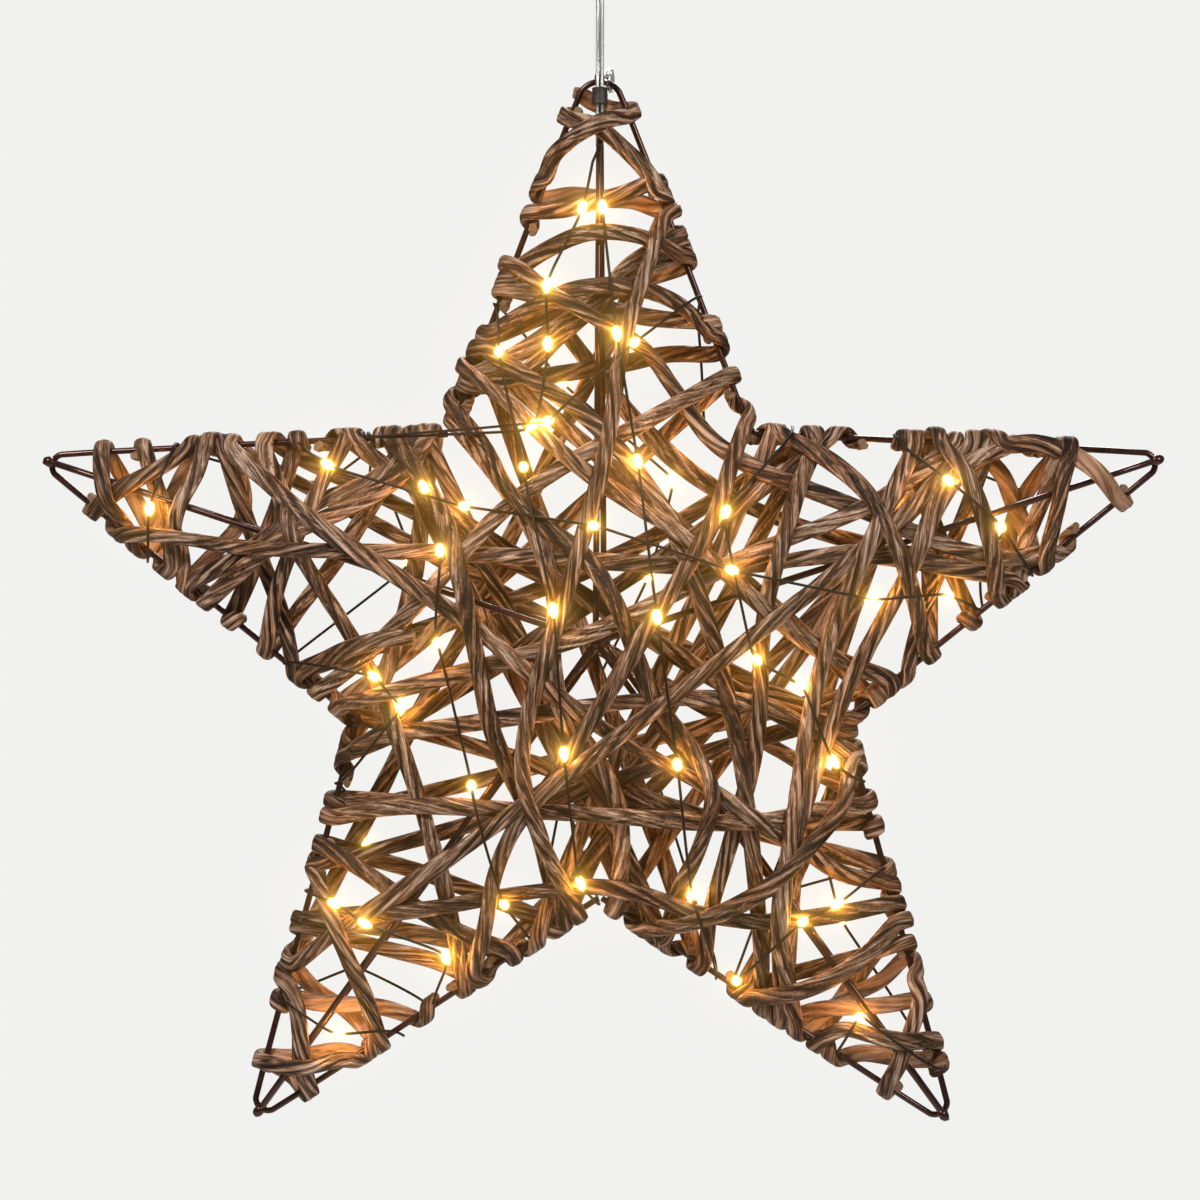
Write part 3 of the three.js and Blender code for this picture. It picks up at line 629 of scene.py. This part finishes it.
# Lacquered wire frame, with a weld where wires meet
wire = {
    "radius": 0.00155,
    "sides": 14,
    "bendCuts": 2,
    "outlineEndRound": 0.0005,
    "ridgeEndRound": 0.0006,
    "ridgeParts": 12,
    "ridgeWeldAt": 0.008,  # share of the way from a ridge's end to the hub
    "points": 5,
    "tipRadius": 0.302,
    "notchRadius": 0.128,
    "ridgeRise": 0.045,
    "faceSlope": 0.48,
    "slackKept": 0.25,
    "weldRadius": 0.0026,
    "hubRadius": 0.0034,
    "weldSides": 14,
    "weldRows": 9,
    "weldLength": 1.35,
    "weldLump": 0.14,
    "weldLumpScale": 900,
    "weldPlaceScale": 50,
    "mottleScale": 110.0,
    "tones": [(0.4, (0.011, 0.0032, 0.0026)), (0.7, (0.03, 0.0082, 0.0056))],
    "roughness": (0.14, 0.26),
    "sheenTint": (1.0, 0.5, 0.4, 1.0),
    "coatWeight": 0.2,
    "coatRoughness": 0.08,
}


def buildLacquer():
    material, tree, shader, mottle = unevenFinish("redBrownLacquer", wire)
    shader.inputs["Specular Tint"].default_value = wire["sheenTint"]
    shader.inputs["Coat Weight"].default_value = wire["coatWeight"]
    shader.inputs["Coat Roughness"].default_value = wire["coatRoughness"]
    return material


lacquer = buildLacquer()


# A weld: a ball pulled long along the wire and made uneven by noise
def weldBead(name, spot, along, radius):
    bpy.ops.mesh.primitive_uv_sphere_add(
        segments=wire["weldSides"], ring_count=wire["weldRows"], radius=radius)
    bead = bpy.context.object
    bead.name = name
    turn = along.to_track_quat("Z", "Y").to_matrix().to_4x4()
    for corner in bead.data.vertices:
        place = corner.co * wire["weldLumpScale"] + spot * wire["weldPlaceScale"]
        lump = 1 + wire["weldLump"] * noise.noise(place)
        corner.co = Vector((corner.co.x, corner.co.y, corner.co.z * wire["weldLength"])) * lump
    bead.data.transform(Matrix.Translation(spot) @ turn)
    bpy.ops.object.shade_smooth()
    return bead


def buildOutlines():
    for side in ("top", "right", "lower_right", "lower_left", "left"):
        node = "outline_" + side
        centres = [ringCentre(ring) for ring in nodeRings(node)]
        line = cornersCut(centres, wire["bendCuts"])
        rod = roundRod("wire_" + side, line, wire["radius"], wire["sides"], wire["outlineEndRound"])
        notch = weldBead("weld_" + side, centres[-1], line[-1] - line[-2], wire["weldRadius"])
        piece = joinPieces("wire_" + side, [rod, notch])
        finishPiece(piece, "dark_wire", lacquer, node)


# A point at a distance from the star's centre: even steps point at tips, odd ones at notches
def starPoint(radius, step):
    turn = step * math.pi / wire["points"]
    return starCentre + Vector((radius * math.sin(turn), 0, radius * math.cos(turn)))


# Nearest point of the star's outline, and the way out from it
def outlineNear(spot):
    radii = (wire["tipRadius"], wire["notchRadius"])
    best = None
    for step in range(2 * wire["points"]):
        first = starPoint(radii[step % 2], step)
        second = starPoint(radii[(step + 1) % 2], step + 1)
        along = (second - first).normalized()
        reach = max(0.0, min((spot - first).dot(along), (second - first).length))
        foot = first + along * reach
        flat = Vector((spot.x - foot.x, 0, spot.z - foot.z))
        if best is None or flat.length < best[2]:
            best = (foot, Vector((-along.z, 0, along.x)), flat.length)
    return best[0], best[1]


# A point that stands well off the frame's face is drawn in towards it, as a strand under pull would be
def pulledTight(spot, loose):
    foot, outward = outlineNear(spot)
    flat = Vector((spot.x - foot.x, 0, spot.z - foot.z)).length
    out = Vector((spot.x, 0, spot.z - starCentre.z)).length
    dome = wire["ridgeRise"] * (1 - out / wire["tipRadius"])
    off = abs(spot.y) - min(dome, wire["faceSlope"] * flat)
    if off < loose:
        return spot
    slack = (off - loose) * (1 - wire["slackKept"])
    return Vector((spot.x, spot.y - math.copysign(slack, spot.y), spot.z))


# Far end of each ridge wire, read from its CAD spider
def ridgeEnds(node):
    corners = [v.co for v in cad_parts[node].data.vertices]
    ends = []
    for arm in range(wire["points"]):
        out = starPoint(1.0, arm * 2) - starCentre
        reach = max((corner - starCentre).dot(out) for corner in corners)
        last = [corner for corner in corners if (corner - starCentre).dot(out) > reach - wire["radius"]]
        y = sum(corner.y for corner in last) / len(last)
        ends.append(starCentre + out * reach + Vector((0, y, 0)))
    return ends


def buildRidges():
    steps = wire["ridgeParts"]
    for side, node in ((-1, "ridges_front"), (1, "ridges_back")):
        hub = starCentre + Vector((0, side * wire["ridgeRise"], 0))
        parts = []
        for arm, end in enumerate(ridgeEnds(node)):
            line = [end.lerp(hub, step / steps) for step in range(steps + 1)]
            parts.append(roundRod(f"ridge_{arm}", line, wire["radius"], wire["sides"], wire["ridgeEndRound"]))
            weld = line[0].lerp(hub, wire["ridgeWeldAt"])
            parts.append(weldBead(f"ridge_weld_{arm}", weld, hub - end, wire["weldRadius"]))
        parts.append(weldBead("ridge_hub", hub, Vector((0, 0, 1)), wire["hubRadius"]))
        piece = joinPieces(node.replace("ridges", "ridge_wires"), parts)
        finishPiece(piece, "dark_wire", lacquer, node)


buildOutlines()
buildRidges()
print("wire frame made")


# Wicker strands: flat split strands with slanting folds, laid on the CAD ribbons
strand = {
    "width": 0.0086,
    "thickness": 0.0042,
    "step": 0.0026,
    "sides": 28,
    "relaxRounds": 3,
    "loose": 0.0145,
    "widthVary": 0.22,
    "thickVary": 0.26,
    "squareness": 0.8,
    "bendSpan": 2,
    "seedSpan": 90,
    "swellLength": 0.05,
    "swellLane": (7, 0),  # a lane keeps one kind of noise apart from the others
    "foldDepth": 0.00078,
    "foldsAcross": 2.0,
    "foldLength": 0.017,
    # Painted shade and highlight: the strand's tone is shifted darker in the fold valleys and lighter on the
    # fold ridges
    "foldShadeAndHighlight": 0.055,
    "foldEdgeLess": 0.6,
    # how much less of the painted fold shade and highlight there is towards the strand's edges
    "foldShadeEdgeLess": 0.5,
    "driftVary": 0.7,
    "driftLength": 0.07,
    "driftLane": (3, 3),
    "wanderVary": 0.45,
    "wanderLength": 0.03,
    "wanderAcross": 1.5,
    "wanderLane": 9,
    "strandTone": 0.03,
    "pressedFlat": 0.8,
    "cup": 0.0009,
    "cupLength": 0.06,
    "cupLane": (0, 5),
    "roll": 0.55,
    "rollLength": 0.07,
    "rollLane": (0, 0),
    "turnAngles": (90, 45, 0, -45, -90),
    "coilAngles": (90, 45, 0, -45, -90, -135, -180, -225),
    "coilShrink": 0.86,
    "slideMost": 1.2,
    "slideLeast": 0.35,
    "slideShare": 0.9,
    "leastOutward": 0.3,
    "wrapLift": 0.0044,
    "stackShare": 0.45,
    "endTaper": 0.7,
    "taperLength": 0.006,
    # Painted shade over the tan inner side: full within the first radius from the star's centre, gone beyond
    # the second
    "tanShadedWithin": 0.17,
    "tanUnshadedBeyond": 0.23,
    "tanReach": 0.15,
    "turnedOver": {"strand_right_arm": 0.062},  # length of a first end that shows its tan side
    "turnedFade": 0.008,
    "plainEnd": "strand_top_tip",  # its last end stops behind the wire
    "plainAngles": (90, 55),
    "grainSlant": 0.2,
    "grainAcross": 470.0,
    "grainAlong": 17.0,
    "fineShare": 0.4,
    "streakShare": 0.6,
    "outerTones": [
        (0.38, (0.006, 0.0026, 0.001)),
        (0.45, (0.043, 0.0178, 0.0072)),
        (0.515, (0.14, 0.069, 0.0335)),
        (0.575, (0.29, 0.18, 0.12)),
        (0.66, (0.52, 0.385, 0.3)),
    ],
    "innerTones": [(0.36, (0.16, 0.07, 0.032)), (0.6, (0.5, 0.285, 0.175))],
    "cutColour": (0.26, 0.15, 0.085, 1.0),
    "warmTint": (1.0, 0.8, 0.62, 1.0),
    "warmPatch": (0.42, 0.68),
    "warmMost": 0.75,
    "roughTones": (0.35, 0.65),
    "roughness": (0.62, 0.38),
    "shine": 0.22,
    "bumpStrength": 0.8,
    "bumpDepth": 0.0016,
}


def buildWicker():
    material, tree, shader = newMaterial("splitWicker")
    grain = placeGroup(tree, longGrain, Across=strand["grainAcross"], Along=strand["grainAlong"])
    tree.links.new(addAttribute(tree, "grainPlace", "Vector"), grain.inputs["Place"])
    broad = addRange(tree, grain.outputs["Streak"], 0.0, 1.0, 0.0, strand["streakShare"])
    tone = addMath(tree, "MULTIPLY_ADD", grain.outputs["Fine"], strand["fineShare"], broad)
    # The grain's tone, shifted by the strand's own random tone and by painted shade in the fold valleys and a
    # painted highlight on the fold ridges
    grainToneAndFoldShade = addMath(tree, "ADD", tone, addAttribute(tree, "strandToneAndFoldShade"))
    outer = addRamp(tree, grainToneAndFoldShade, strand["outerTones"])
    warm = addRange(tree, grain.outputs["Patch"], *strand["warmPatch"], 0.0, strand["warmMost"])
    outer = addMix(tree, warm, outer, strand["warmTint"], "MULTIPLY")
    under = addRamp(tree, grainToneAndFoldShade, strand["innerTones"])
    # Inner side: its own paler tan, with painted shade (the outer brown) over it towards the star's centre
    colour = addMix(tree, addAttribute(tree, "innerTanOutOfShade"), outer, under)
    colour = addMix(tree, addAttribute(tree, "cutEnd"), colour, strand["cutColour"])
    tree.links.new(colour, shader.inputs["Base Color"])
    rough = addRange(tree, grainToneAndFoldShade, *strand["roughTones"], *strand["roughness"])
    tree.links.new(rough, shader.inputs["Roughness"])
    shader.inputs["Specular IOR Level"].default_value = strand["shine"]
    addBump(tree, tone, strand["bumpStrength"], strand["bumpDepth"], shader)
    return material


splitWicker = buildWicker()


# Middle and outward direction of each ring of a CAD ribbon
def ribbonStops(name):
    rings = nodeRings(name)
    first = rings[0]
    short = 0 if (first[0] - first[1]).length < (first[1] - first[2]).length else 1
    stops = []
    for ring in rings:
        a, b, c, d = ring[short:] + ring[:short]
        middle = pulledTight(ringCentre(ring), strand["loose"])
        stops.append((middle, (b + c - a - d).normalized()))
    highest = max(stops, key=lambda stop: abs(stop[0].y))
    if highest[1].y * highest[0].y < 0:
        stops = [(middle, -rise) for middle, rise in stops]
    return stops


# How far a strand slides along the outline wire while it turns round it, for each step outward
def slideFor(headed, outward):
    along = Vector((-outward.z, 0, outward.x))
    leastOutward = strand["leastOutward"] * headed.length
    return headed.dot(along) / max(abs(headed.dot(outward)), leastOutward)


# Points round the outline wire, from one face to the other
def turnRound(foot, outward, side, heights, slide, angles):
    quarterTurn = 90
    along = Vector((-outward.z, 0, outward.x))
    lift, front, back = heights
    advance = slide * lift * strand["slideShare"]
    turn = []
    for angle in angles:
        c = math.cos(math.radians(angle))
        s = math.sin(math.radians(angle))
        shrink = strand["coilShrink"] if angle < -quarterTurn else 1.0
        raised = Vector((0, side * s * (front if angle > 0 else back) * shrink, 0))
        spot = foot + outward * lift * shrink * c + raised - along * advance * angle / quarterTurn
        turn.append((spot, outward * c + Vector((0, side * s, 0))))
    return turn


# The end of a strand is wound once round the wire, its last part under the strand itself
def endCoil(foot, outward, side, heights, headed, angles):
    slide = slideFor(headed, outward)
    slide = math.copysign(max(strand["slideLeast"], min(strand["slideMost"], abs(slide))), slide)
    return turnRound(foot, outward, side, heights, slide, angles)


def isOver(spot):
    level = 1e-4
    return abs(spot.y) < level


# Wraps that the CAD stacks on each other are pressed down on the wire
def pressed(height):
    return strand["wrapLift"] + max(0.0, height - strand["wrapLift"]) * strand["stackShare"]


# A CAD strand passes over the outline wire in three rings, which become one even turn
def turnAt(node, stops, at):
    last = len(stops) - 1
    over = stops[at][0]
    edges = [stops[other][0] for other in (at - 1, at + 1) if 0 <= other <= last]
    foot = Vector((edges[0].x, 0, edges[0].z))
    outward = (over - foot).normalized()
    lift = pressed((over - foot).length)
    side = math.copysign(1.0, edges[0].y)
    front = pressed(abs(edges[0].y))
    heights = (lift, front, lift)
    if at == 0:
        coil = endCoil(foot, outward, side, heights, foot - stops[2][0], strand["coilAngles"])
        return list(reversed(coil))
    if at == last:
        angles = strand["plainAngles"] if node == strand["plainEnd"] else strand["coilAngles"]
        return endCoil(foot, outward, side, heights, foot - stops[-3][0], angles)
    ahead = slideFor(foot - stops[at - 2][0], outward) + slideFor(stops[at + 2][0] - foot, outward)
    slide = max(-strand["slideMost"], min(strand["slideMost"], ahead / 2))
    heights = (lift, front, pressed(abs(edges[1].y)))
    return turnRound(foot, outward, side, heights, slide, strand["turnAngles"])


# An inner CAD strand ends against the outline wire: here it goes on round the wire
def innerEnd(end, inward, side):
    foot, outward = outlineNear(end)
    lift = strand["wrapLift"]
    return endCoil(foot, outward, side, (lift, lift, lift), foot - inward, strand["coilAngles"])


def wholeStrand(node):
    stops = ribbonStops(node)
    last = len(stops) - 1
    if "inner" in node:
        side = math.copysign(1.0, stops[len(stops) // 2][0].y)
        body = [(spot, Vector((0, side, 0))) for spot, rise in stops[1:-1]]
        first = innerEnd(stops[0][0], stops[1][0], side)
        return list(reversed(first)) + body + innerEnd(stops[-1][0], stops[-2][0], side)
    whole = []
    for at, stop in enumerate(stops):
        beside = [stops[other][0] for other in (at - 1, at + 1) if 0 <= other <= last]
        if isOver(stop[0]):
            whole.extend(turnAt(node, stops, at))
        elif not any(isOver(spot) for spot in beside):
            whole.append(stop)
    return whole


def clamped(value):
    return max(0.0, min(1.0, value))


# Noise that changes slowly along a strand
def slowNoise(own, travelled, length, lane):
    return noise.noise(own["seed"] + Vector((travelled / length, *lane)))


# What one strand has of its own: where its noise starts, which way it is folded, how dark it is
def drawnByChance(node):
    chance = random.Random(node)
    span = strand["seedSpan"]
    return {
        "seed": Vector((chance.uniform(0, span), chance.uniform(0, span), chance.uniform(0, span))),
        "slant": chance.choice((-1, 1)),
        "tone": chance.uniform(-strand["strandTone"], strand["strandTone"]),
        "turnedOver": strand["turnedOver"].get(node, 0.0),
    }


# The form of a strand's section at one place along it
def sectionAt(own, spot, travelled, total, bend):
    swell = slowNoise(own, travelled, strand["swellLength"], strand["swellLane"])
    roll = strand["roll"] * slowNoise(own, travelled, strand["rollLength"], strand["rollLane"])
    cup = strand["cup"] * slowNoise(own, travelled, strand["cupLength"], strand["cupLane"])
    drift = strand["driftVary"] * slowNoise(own, travelled, strand["driftLength"], strand["driftLane"])
    fromEnd = min(travelled, total - travelled)
    # Painted shade: towards the star's centre the tan inner side takes the outer brown as shade; near the
    # outline the tan shows
    tanOutOfShade = ((spot - starCentre).length - strand["tanShadedWithin"]) / (strand["tanUnshadedBeyond"] - strand["tanShadedWithin"])
    return {
        "travelled": travelled,
        "halfWidth": strand["width"] / 2 * (1 + strand["widthVary"] * swell),
        "halfThick": strand["thickness"] / 2 * (1 - strand["thickVary"] * swell),
        "roll": roll * (1 - bend),
        "cup": cup,
        "drift": own["slant"] * travelled / strand["foldLength"] + drift,
        "depth": strand["foldDepth"] * (1 - strand["pressedFlat"] * bend),
        "taper": strand["endTaper"] + (1 - strand["endTaper"]) * min(1, fromEnd / strand["taperLength"]),
        "tanOutOfShade": clamped(tanOutOfShade),
        "turned": clamped((own["turnedOver"] - travelled) / strand["turnedFade"]),
    }


# One corner of a section: its place across and above the strand, and what the material needs there
def cornerAt(own, section, side):
    travelled = section["travelled"]
    turn = 2 * math.pi * side / strand["sides"]
    c = math.cos(turn)
    s = math.sin(turn)
    share = math.copysign(abs(c) ** strand["squareness"], c)
    lift = math.copysign(abs(s) ** strand["squareness"], s)
    lane = (share * strand["wanderAcross"], strand["wanderLane"])
    wander = strand["wanderVary"] * slowNoise(own, travelled, strand["wanderLength"], lane)
    fold = math.sin(2 * math.pi * (strand["foldsAcross"] * share / 2 + section["drift"] + wander))
    thick = section["halfThick"] + section["depth"] * fold * (1 - strand["foldEdgeLess"] * share ** 2)
    x = section["halfWidth"] * share * section["taper"]
    y = lift * thick + section["cup"] * share ** 2
    grainX = x + own["slant"] * strand["grainSlant"] * travelled
    place = Vector((grainX, y, travelled)) + own["seed"]
    # The inner side's own tan, kept off the inside of the star by painted shade
    inner = section["tanOutOfShade"] * max(section["turned"], min(1.0, strand["tanReach"] - s))
    # The strand's own random tone, plus painted shade in the fold valleys and a painted highlight on the fold
    # ridges
    toneAndFoldShade = own["tone"] + strand["foldShadeAndHighlight"] * fold * (1 - strand["foldShadeEdgeLess"] * share ** 2)
    return x, y, place, inner, toneAndFoldShade


def buildStrand(node):
    own = drawnByChance(node)
    stops = wholeStrand(node)
    line = smoothLine([stop[0] for stop in stops], strand["step"])
    path = relaxed([spot for spot, place in line], strand["relaxRounds"])
    ways = headings(path)
    last = len(path) - 1
    total = sum((b - a).length for a, b in zip(path, path[1:]))
    travelled = 0.0
    rings = []
    values = {"grainPlace": [], "innerTanOutOfShade": [], "strandToneAndFoldShade": [], "cutEnd": []}
    for at, (spot, way) in enumerate(zip(path, ways)):
        travelled += (spot - path[at - 1]).length if at else 0.0
        ahead = ways[min(at + strand["bendSpan"], last)]
        behind = ways[max(at - strand["bendSpan"], 0)]
        section = sectionAt(own, spot, travelled, total, min(1.0, (ahead - behind).length))
        across = way.cross(riseAt(stops, line[at][1])).normalized()
        upward = across.cross(way).normalized()
        along = across * math.cos(section["roll"]) + upward * math.sin(section["roll"])
        above = upward * math.cos(section["roll"]) - across * math.sin(section["roll"])
        ring = []
        for side in range(strand["sides"]):
            x, y, place, inner, toneAndFoldShade = cornerAt(own, section, side)
            ring.append(spot + along * x + above * y)
            values["grainPlace"].extend(place)
            values["innerTanOutOfShade"].append(inner)
            values["strandToneAndFoldShade"].append(toneAndFoldShade)
            values["cutEnd"].append(1.0 if at in (0, last) else 0.0)
        rings.append(ring)
    piece = skinned(node.replace("strand", "wicker"), rings)
    for name, numbers in values.items():
        storeAttribute(piece, name, numbers)
    finishPiece(piece, "wicker", splitWicker, node)
    return len(piece.data.polygons), total


# The outward direction between two stops of a strand
def riseAt(stops, place):
    at = min(int(place), len(stops) - 2)
    return stops[at][1].lerp(stops[at + 1][1], place - at)


# One number for each corner of a piece, or three
def storeAttribute(piece, name, numbers):
    isVector = len(numbers) > len(piece.data.vertices)
    layer = piece.data.attributes.new(name, "FLOAT_VECTOR" if isVector else "FLOAT", "POINT")
    layer.data.foreach_set("vector" if isVector else "value", numbers)


strandNodes = [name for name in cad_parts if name.startswith("strand_")]
strandSizes = [buildStrand(node) for node in sorted(strandNodes)]
print("strands made:", len(strandSizes), "faces", sum(size[0] for size in strandSizes),
      "metres", round(sum(size[1] for size in strandSizes), 2))


# Light string: thin black wire with small glowing bulbs
lights = {
    "wireRadius": 0.0007,
    "wireSides": 8,
    "wireStep": 0.004,
    "wireRelax": 9,
    "loose": 0.017,
    "wrapLift": 0.0048,
    "fedFromCable": ("light_string_middle", "light_string_left"),
    "bulbRadius": 0.0022,
    "bulbLength": 0.0078,
    "bulbAtLeast": 0.0012,  # radius of a CAD ring that stands for a bulb
    "bulbSides": 12,
    "bulbRows": 9,
    "bulbDrawnIn": 0.42,
    "bulbCurve": 1.5,
    "mottleScale": 620.0,
    "tones": [(0.4, (0.004, 0.003, 0.0025)), (0.7, (0.012, 0.009, 0.007))],
    "roughness": (0.34, 0.5),
    "shine": 0.2,
    "bulbColour": (0.9, 0.8, 0.6, 1.0),
    "bulbRoughness": 0.2,
    "glowColour": (1.0, 0.52, 0.05, 1.0),
    "glowStrength": 22.0,
    "lampColour": (1.0, 0.5, 0.09),
    "lampPower": 0.038,
    "lampRadius": 0.003,
}


def buildBlackWire():
    material, tree, shader, mottle = unevenFinish("blackWire", lights)
    shader.inputs["Specular IOR Level"].default_value = lights["shine"]
    return material


def buildWarmGlow():
    material, tree, shader = newMaterial("warmGlow")
    shader.inputs["Base Color"].default_value = lights["bulbColour"]
    shader.inputs["Roughness"].default_value = lights["bulbRoughness"]
    shader.inputs["Emission Color"].default_value = lights["glowColour"]
    shader.inputs["Emission Strength"].default_value = lights["glowStrength"]
    return material


blackWire = buildBlackWire()
warmGlow = buildWarmGlow()


# One bulb: a drop that is slimmer towards one end, modelled once at the origin
def modelBulb():
    bpy.ops.mesh.primitive_uv_sphere_add(
        segments=lights["bulbSides"], ring_count=lights["bulbRows"], radius=lights["bulbRadius"])
    bulb = bpy.context.object
    bulb.name = "bulbShape"
    reach = lights["bulbLength"] / 2
    for corner in bulb.data.vertices:
        height = corner.co.z / lights["bulbRadius"]
        slim = 1.0 - lights["bulbDrawnIn"] * max(0.0, height) ** lights["bulbCurve"]
        corner.co = Vector((corner.co.x * slim, corner.co.y * slim, height * reach))
    bpy.ops.object.shade_smooth()
    return bulb


def buildLightString(node, shape):
    rings = nodeRings(node)
    centres = [pulledIn(ringCentre(ring)) for ring in rings]
    line = smoothLine(centres, lights["wireStep"])
    path = relaxed([spot for spot, place in line], lights["wireRelax"])
    seats = {place: spot for (start, place), spot in zip(line, path)}
    label = node.replace("light_string_", "")
    if node in lights["fedFromCable"]:
        path.insert(0, cablePath[0])
    cord = roundRod("light_wire_" + label, path, lights["wireRadius"], lights["wireSides"])
    finishPiece(cord, "light_string", blackWire, node)
    ways = headings(centres)
    bulbs = []
    for at, (way, ring) in enumerate(zip(ways, rings)):
        if (ring[0] - ringCentre(ring)).length > lights["bulbAtLeast"]:
            spot = seats[float(at)]
            bulb = bpy.data.objects.new(f"bulb_{label}_{len(bulbs)}", shape.data.copy())
            scene.collection.objects.link(bulb)
            turn = way.to_track_quat("Z", "Y").to_matrix().to_4x4()
            bulb.data.transform(Matrix.Translation(spot) @ turn)
            bulbs.append(bulb)
            addLamp(spot)
    piece = joinPieces("bulbs_" + label, bulbs)
    piece.visible_shadow = False  # the lamp inside it shines through
    finishPiece(piece, "light_string", warmGlow)
    return len(bulbs)


# A wire that turns over the outline stays close to it, under the strands that turn there
def pulledIn(spot):
    if not isOver(spot):
        return pulledTight(spot, lights["loose"])
    foot, outward = outlineNear(spot)
    return foot + outward * min((spot - foot).length, lights["wrapLift"])


def addLamp(spot):
    lamp = bpy.data.lights.new("bulbLamp", "POINT")
    lamp.energy = lights["lampPower"]
    lamp.color = lights["lampColour"]
    lamp.shadow_soft_size = lights["lampRadius"]
    holder = bpy.data.objects.new("bulbLamp", lamp)
    holder.location = spot
    scene.collection.objects.link(holder)


bulbShape = modelBulb()
bulbCount = 0
for lightNode in ("light_string_middle", "light_string_left", "light_string_right"):
    bulbCount += buildLightString(lightNode, bulbShape)
bpy.data.objects.remove(bulbShape)
print("light strings made, bulbs:", bulbCount)


# Studio: pale floor under the star, pale surround, soft boxes
studio = {
    "floorRadius": 1.5,
    "floorHeight": -1.0,
    "floorSides": 96,
    "floorMottle": 6.0,
    "floorTones": [(0.35, (0.74, 0.74, 0.73)), (0.65, (0.78, 0.78, 0.77))],
    "floorRoughness": 0.8,
    "surroundColour": (0.879, 0.879, 0.863, 1.0),
    "surroundLight": (0.22, 0.215, 0.207, 1.0),
    "boxes": [  # place, size, power
        ((-0.8, -1.3, 0.95), 0.5, 31.0),
        ((1.1, -1.3, 0.6), 0.5, 17.0),
        ((0.2, 1.5, 0.8), 0.7, 20.0),
    ],
}


def buildStudio():
    deselectAll()
    bpy.ops.mesh.primitive_circle_add(vertices=studio["floorSides"], radius=studio["floorRadius"],
                                      fill_type="NGON", location=(0, 0, studio["floorHeight"]))
    floor = bpy.context.object
    floor.name = "paleFloor"
    bpy.ops.object.transform_apply(location=True)
    material, tree, shader = newMaterial("paleFloor")
    mottle = placeGroup(tree, finishMottle, Scale=studio["floorMottle"])
    colour = addRamp(tree, mottle.outputs["Value"], studio["floorTones"])
    tree.links.new(colour, shader.inputs["Base Color"])
    shader.inputs["Roughness"].default_value = studio["floorRoughness"]
    floor.data.materials.append(material)
    for place, size, power in studio["boxes"]:
        bpy.ops.object.light_add(type="AREA", location=place)
        box = bpy.context.object
        box.data.size = size
        box.data.energy = power
        box.rotation_euler = (starCentre - Vector(place)).to_track_quat("-Z", "Y").to_euler()


# The surround is seen at one brightness and lights the star at another
def buildSurround():
    world = bpy.data.worlds.new("paleSurround")
    scene.world = world
    world.use_nodes = True
    tree = world.node_tree
    seen = tree.nodes["Background"]
    seen.inputs["Color"].default_value = studio["surroundColour"]
    lit = tree.nodes.new("ShaderNodeBackground")
    lit.inputs["Color"].default_value = studio["surroundLight"]
    path = tree.nodes.new("ShaderNodeLightPath")
    both = tree.nodes.new("ShaderNodeMixShader")
    tree.links.new(path.outputs["Is Camera Ray"], both.inputs[0])
    tree.links.new(lit.outputs["Background"], both.inputs[1])
    tree.links.new(seen.outputs["Background"], both.inputs[2])
    tree.links.new(both.outputs["Shader"], tree.nodes["World Output"].inputs["Surface"])


buildStudio()
buildSurround()
scene.view_settings.view_transform = "Standard"
print("studio made")


# Warm bloom round the bulbs
bloom = {"threshold": 1.5, "strength": 1.0, "size": 0.13}


def buildBloom():
    scene.use_nodes = True
    tree = scene.node_tree
    tree.nodes.clear()
    picture = tree.nodes.new("CompositorNodeRLayers")
    glare = tree.nodes.new("CompositorNodeGlare")
    glare.glare_type = "BLOOM"
    glare.inputs["Threshold"].default_value = bloom["threshold"]
    glare.inputs["Strength"].default_value = bloom["strength"]
    glare.inputs["Size"].default_value = bloom["size"]
    result = tree.nodes.new("CompositorNodeComposite")
    tree.links.new(picture.outputs["Image"], glare.inputs["Image"])
    tree.links.new(glare.outputs["Image"], result.inputs["Image"])


buildBloom()
print("bloom made")
